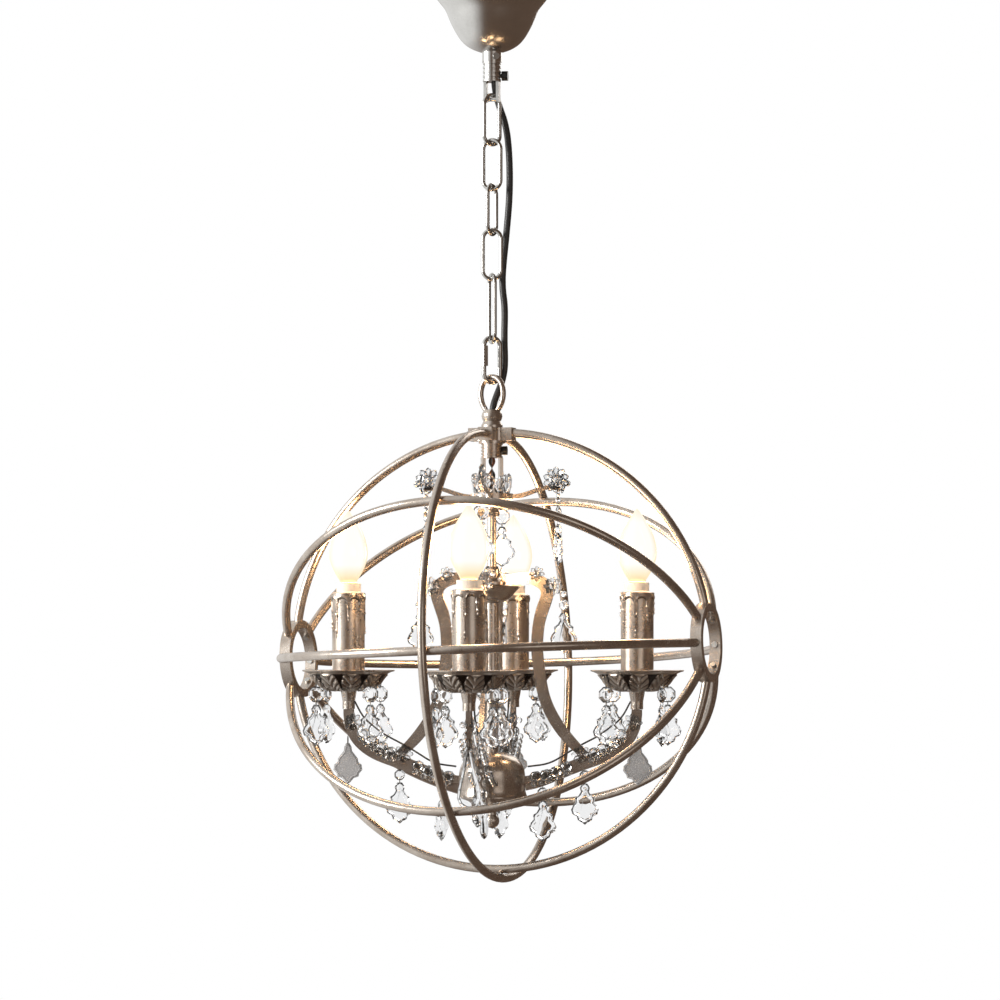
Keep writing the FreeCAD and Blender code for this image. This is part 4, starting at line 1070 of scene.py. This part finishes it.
def lamps():
    """The four lit lamps with their caps, each on its own body."""
    turns = int((cap_length - contact_height) / thread_pitch)
    thread = []
    for i in range(turns * 4):
        height = -cap_length + contact_height + thread_pitch * i / 4
        thread.append((cap_radius - 0.55 + thread_depth * math.sin(quarter_turn * i), height))
    cap_profile = [(0, -cap_length), (2.4, -cap_length), (2.8, -cap_length + 1.6),
                   (5.4, -cap_length + 4.6)]
    cap_profile += thread + [(cap_radius, -1.0), (cap_radius + 0.4, 0.5), (0, 0.5)]
    for i, arm in enumerate(arm_places):
        spot = arm @ shift(arm_reach, 0, holder_top + 0.3)
        glass = spun([(0, 0.35)] + list(lamp_outline), steps=48)
        bmesh.ops.transform(glass, matrix=spot, verts=glass.verts)
        cap = spun(cap_profile, steps=32)
        bmesh.ops.transform(cap, matrix=spot, verts=cap.verts)
        body = "lamp_%d" % (i + 1)
        piece_from("lamp_envelope_%d" % (i + 1), glass, glowing, body, replaces=body)
        piece_from("lamp_cap_%d" % (i + 1), cap, lamp_brass, body)


lamps()

# %% [markdown]
# ## Leads in the yoke
# Inside the fork under the hub two insulated leads twist round each other. A circle that is spun
# about the stem while it climbs gives one of them, and half a turn more gives the other. The
# circle is tilted first, so that it stands about square to the way it goes.

# %% Twisted leads
lead_radius = 1.5
lead_spread = 1.55
lead_turns = 1.3
lead_tilt = math.radians(60)
lead_steps = 60


def twisted_leads():
    """The two leads between the grip and the crown."""
    low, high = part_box("yoke_leads")
    for i, (name, material) in enumerate((("brown", brown_lead), ("black", black_lead))):
        bm = bmesh.new()
        bmesh.ops.create_circle(bm, segments=12, radius=lead_radius * mm)
        bmesh.ops.rotate(bm, verts=bm.verts, cent=(0, 0, 0),
                         matrix=Matrix.Rotation(lead_tilt, 3, "X"))
        bmesh.ops.translate(bm, verts=bm.verts, vec=(lead_spread * mm, 0, low.z))
        bmesh.ops.spin(bm, geom=bm.verts[:] + bm.edges[:], cent=(0, 0, 0), axis=(0, 0, 1),
                       dvec=(0, 0, (high.z - low.z) / lead_steps), angle=full_turn * lead_turns,
                       steps=lead_steps)
        bmesh.ops.holes_fill(bm, edges=[e for e in bm.edges if e.is_boundary])
        bmesh.ops.rotate(bm, verts=bm.verts, cent=(0, 0, 0),
                         matrix=Matrix.Rotation(math.pi * i, 3, "Z"))
        bmesh.ops.recalc_face_normals(bm, faces=bm.faces)
        piece_from("yoke_lead_%s" % name, bm, material, "orb",
                   replaces="yoke_leads" if i == 0 else None)


twisted_leads()

# %% [markdown]
# ## Finishes of the frame's own nodes
# What the frame shows as it is gets its finish here. Its meshes stay untouched.

# %% Finishes of the frame
node_finish = {
    "ceiling_bracket": zinc_plate, "bracket_nipple": zinc_plate, "terminal_block": cream_plastic,
    "canopy": satin_nickel, "canopy_collar": satin_nickel, "collar_screw": zinc_plate,
    "top_cord_grip": satin_nickel, "top_thumb_screw": black_oxide, "chain_stirrup": bright_chain,
    "quick_link": bright_chain, "quick_link_nut": satin_nickel, "hanging_loop": antique_paint,
    "hub_nipple": zinc_plate, "cage_screws": zinc_plate, "grip_screw": black_oxide,
    "lamp_holders": cream_plastic, "lead_wires": black_lead,
}
for name, node in frame["nodes"].items():
    finish = bright_chain if name.startswith("chain_link") else node_finish.get(name, antique_paint)
    node.data.materials.clear()
    node.data.materials.append(finish)
print("finished", len(frame["nodes"]), "nodes")

# %% [markdown]
# ## Studio
# The photograph has a plain white ground, with its light on the left and the dark of the room
# behind the camera. The world is white where it is seen. Polished metal and glass show it white
# behind the object and to the left, and dark towards the camera and the right.

# %% World
bright_side = Vector((-0.95, 0.05, 0.2))
clear_side = Vector((-0.5, 0.8, 0.0))
dark_shades = (0.13, 0.085, 0.06, 1), (0.05, 0.05, 0.05, 1)
bright_shades = (0.97, 0.97, 0.96, 1), (1, 1, 1, 1)
side_spans = (0.08, 0.5), (-0.2, 0.4)
soft_level = 0.30


def studio_world():
    """White where it is seen, soft where it lights, and bright on one side where it is mirrored."""
    world = bpy.data.worlds.new("studio_world")
    world.use_nodes = True
    tree = world.node_tree
    tree.nodes.clear()
    seen = add_node(tree, "ShaderNodeBackground", Color=(1, 1, 1, 1), Strength=1.0)
    light = add_node(tree, "ShaderNodeBackground", Color=(1.0, 0.985, 0.96, 1), Strength=soft_level)
    heading = add_node(tree, "ShaderNodeTexCoord").outputs["Generated"]
    path = add_node(tree, "ShaderNodeLightPath").outputs
    result = light.outputs[0]
    rays = ("Is Glossy Ray", "Is Transmission Ray")
    for ray, side, dark, bright, (low, high) in zip(rays, (bright_side, clear_side), dark_shades,
                                                    bright_shades, side_spans):
        share = add_node(tree, "ShaderNodeVectorMath", heading, side, operation="DOT_PRODUCT")
        fall = add_node(tree, "ShaderNodeMapRange", From_Min=low, From_Max=high,
                        Value=share.outputs["Value"])
        shade = color_mix(tree, fall.outputs[0], dark, bright)
        mirrored = add_node(tree, "ShaderNodeBackground", Color=shade)
        result = add_node(tree, "ShaderNodeMixShader", path[ray], result,
                          mirrored.outputs[0]).outputs[0]
    plain = add_node(tree, "ShaderNodeMixShader", path["Is Camera Ray"], result, seen.outputs[0])
    add_node(tree, "ShaderNodeOutputWorld", Surface=plain.outputs[0])
    bpy.context.scene.world = world


studio_world()

# %% [markdown]
# The floor lies a room's height below the ceiling. It is as white as the world to the camera,
# apart from the shadow that the object lets fall on it. Polished metal doesn't mirror it but the
# world behind it, so that the undersides have a bright and a dark side like the rest.

# %% Floor
floor_height = -2.4
floor_reach = 8
floor_glow = 0.8


def studio_floor():
    """A wide pale floor that still takes the object's shadow."""
    bm = bmesh.new()
    bmesh.ops.create_grid(bm, x_segments=1, y_segments=1, size=floor_reach)
    bmesh.ops.translate(bm, verts=bm.verts, vec=(0, 0, floor_height))
    mesh = mesh_from("studio_floor", bm)
    material, tree, shader = new_material(
        "studio_floor", Base_Color=(0.92, 0.92, 0.92, 1), Roughness=0.9,
        Emission_Color=(1, 1, 1, 1))
    path = add_node(tree, "ShaderNodeLightPath").outputs
    most = add_node(tree, "ShaderNodeMath", path["Is Camera Ray"], path["Is Transmission Ray"],
                    operation="MAXIMUM")
    strength = add_node(tree, "ShaderNodeMath", most.outputs[0], floor_glow, operation="MULTIPLY")
    feed(tree, shader, Emission_Strength=strength.outputs[0])
    unseen = add_node(tree, "ShaderNodeBsdfTransparent")
    mix = add_node(tree, "ShaderNodeMixShader", path["Is Glossy Ray"], shader.outputs[0],
                   unseen.outputs[0])
    feed(tree, tree.nodes["Material Output"], Surface=mix.outputs[0])
    mesh.materials.append(material)
    floor = add_object("studio_floor", mesh)


studio_floor()

# %% [markdown]
# One soft lamp stands on the left, with weaker ones in front and behind. The candle lamps give
# their own warm light.

# %% Lights


def area_light(name, place_at, aim, size, watts, shade):
    """A square soft light that looks at a point."""
    data = bpy.data.lights.new(name, "AREA")
    data.size = size
    data.energy = watts
    data.color = shade
    lamp = add_object(name, data)
    lamp.location = place_at
    lamp.rotation_euler = (Vector(aim) - Vector(place_at)).to_track_quat("-Z", "Y").to_euler()


orb_middle = (0, 0, orb_z)
area_light("key_left", (-2.6, -1.2, orb_z + 0.8), orb_middle, 1.2, 95, (1.0, 0.99, 0.97))
area_light("fill_front", (1.6, -2.6, orb_z + 0.3), orb_middle, 1.6, 7, (1.0, 0.97, 0.93))
area_light("back_top", (0.6, 2.2, orb_z + 1.4), orb_middle, 1.4, 16, (1.0, 0.98, 0.95))

# %% [markdown]
# ## Finish
# The view settings stay plain.

# %% Finish
bpy.context.scene.view_settings.view_transform = "Standard"
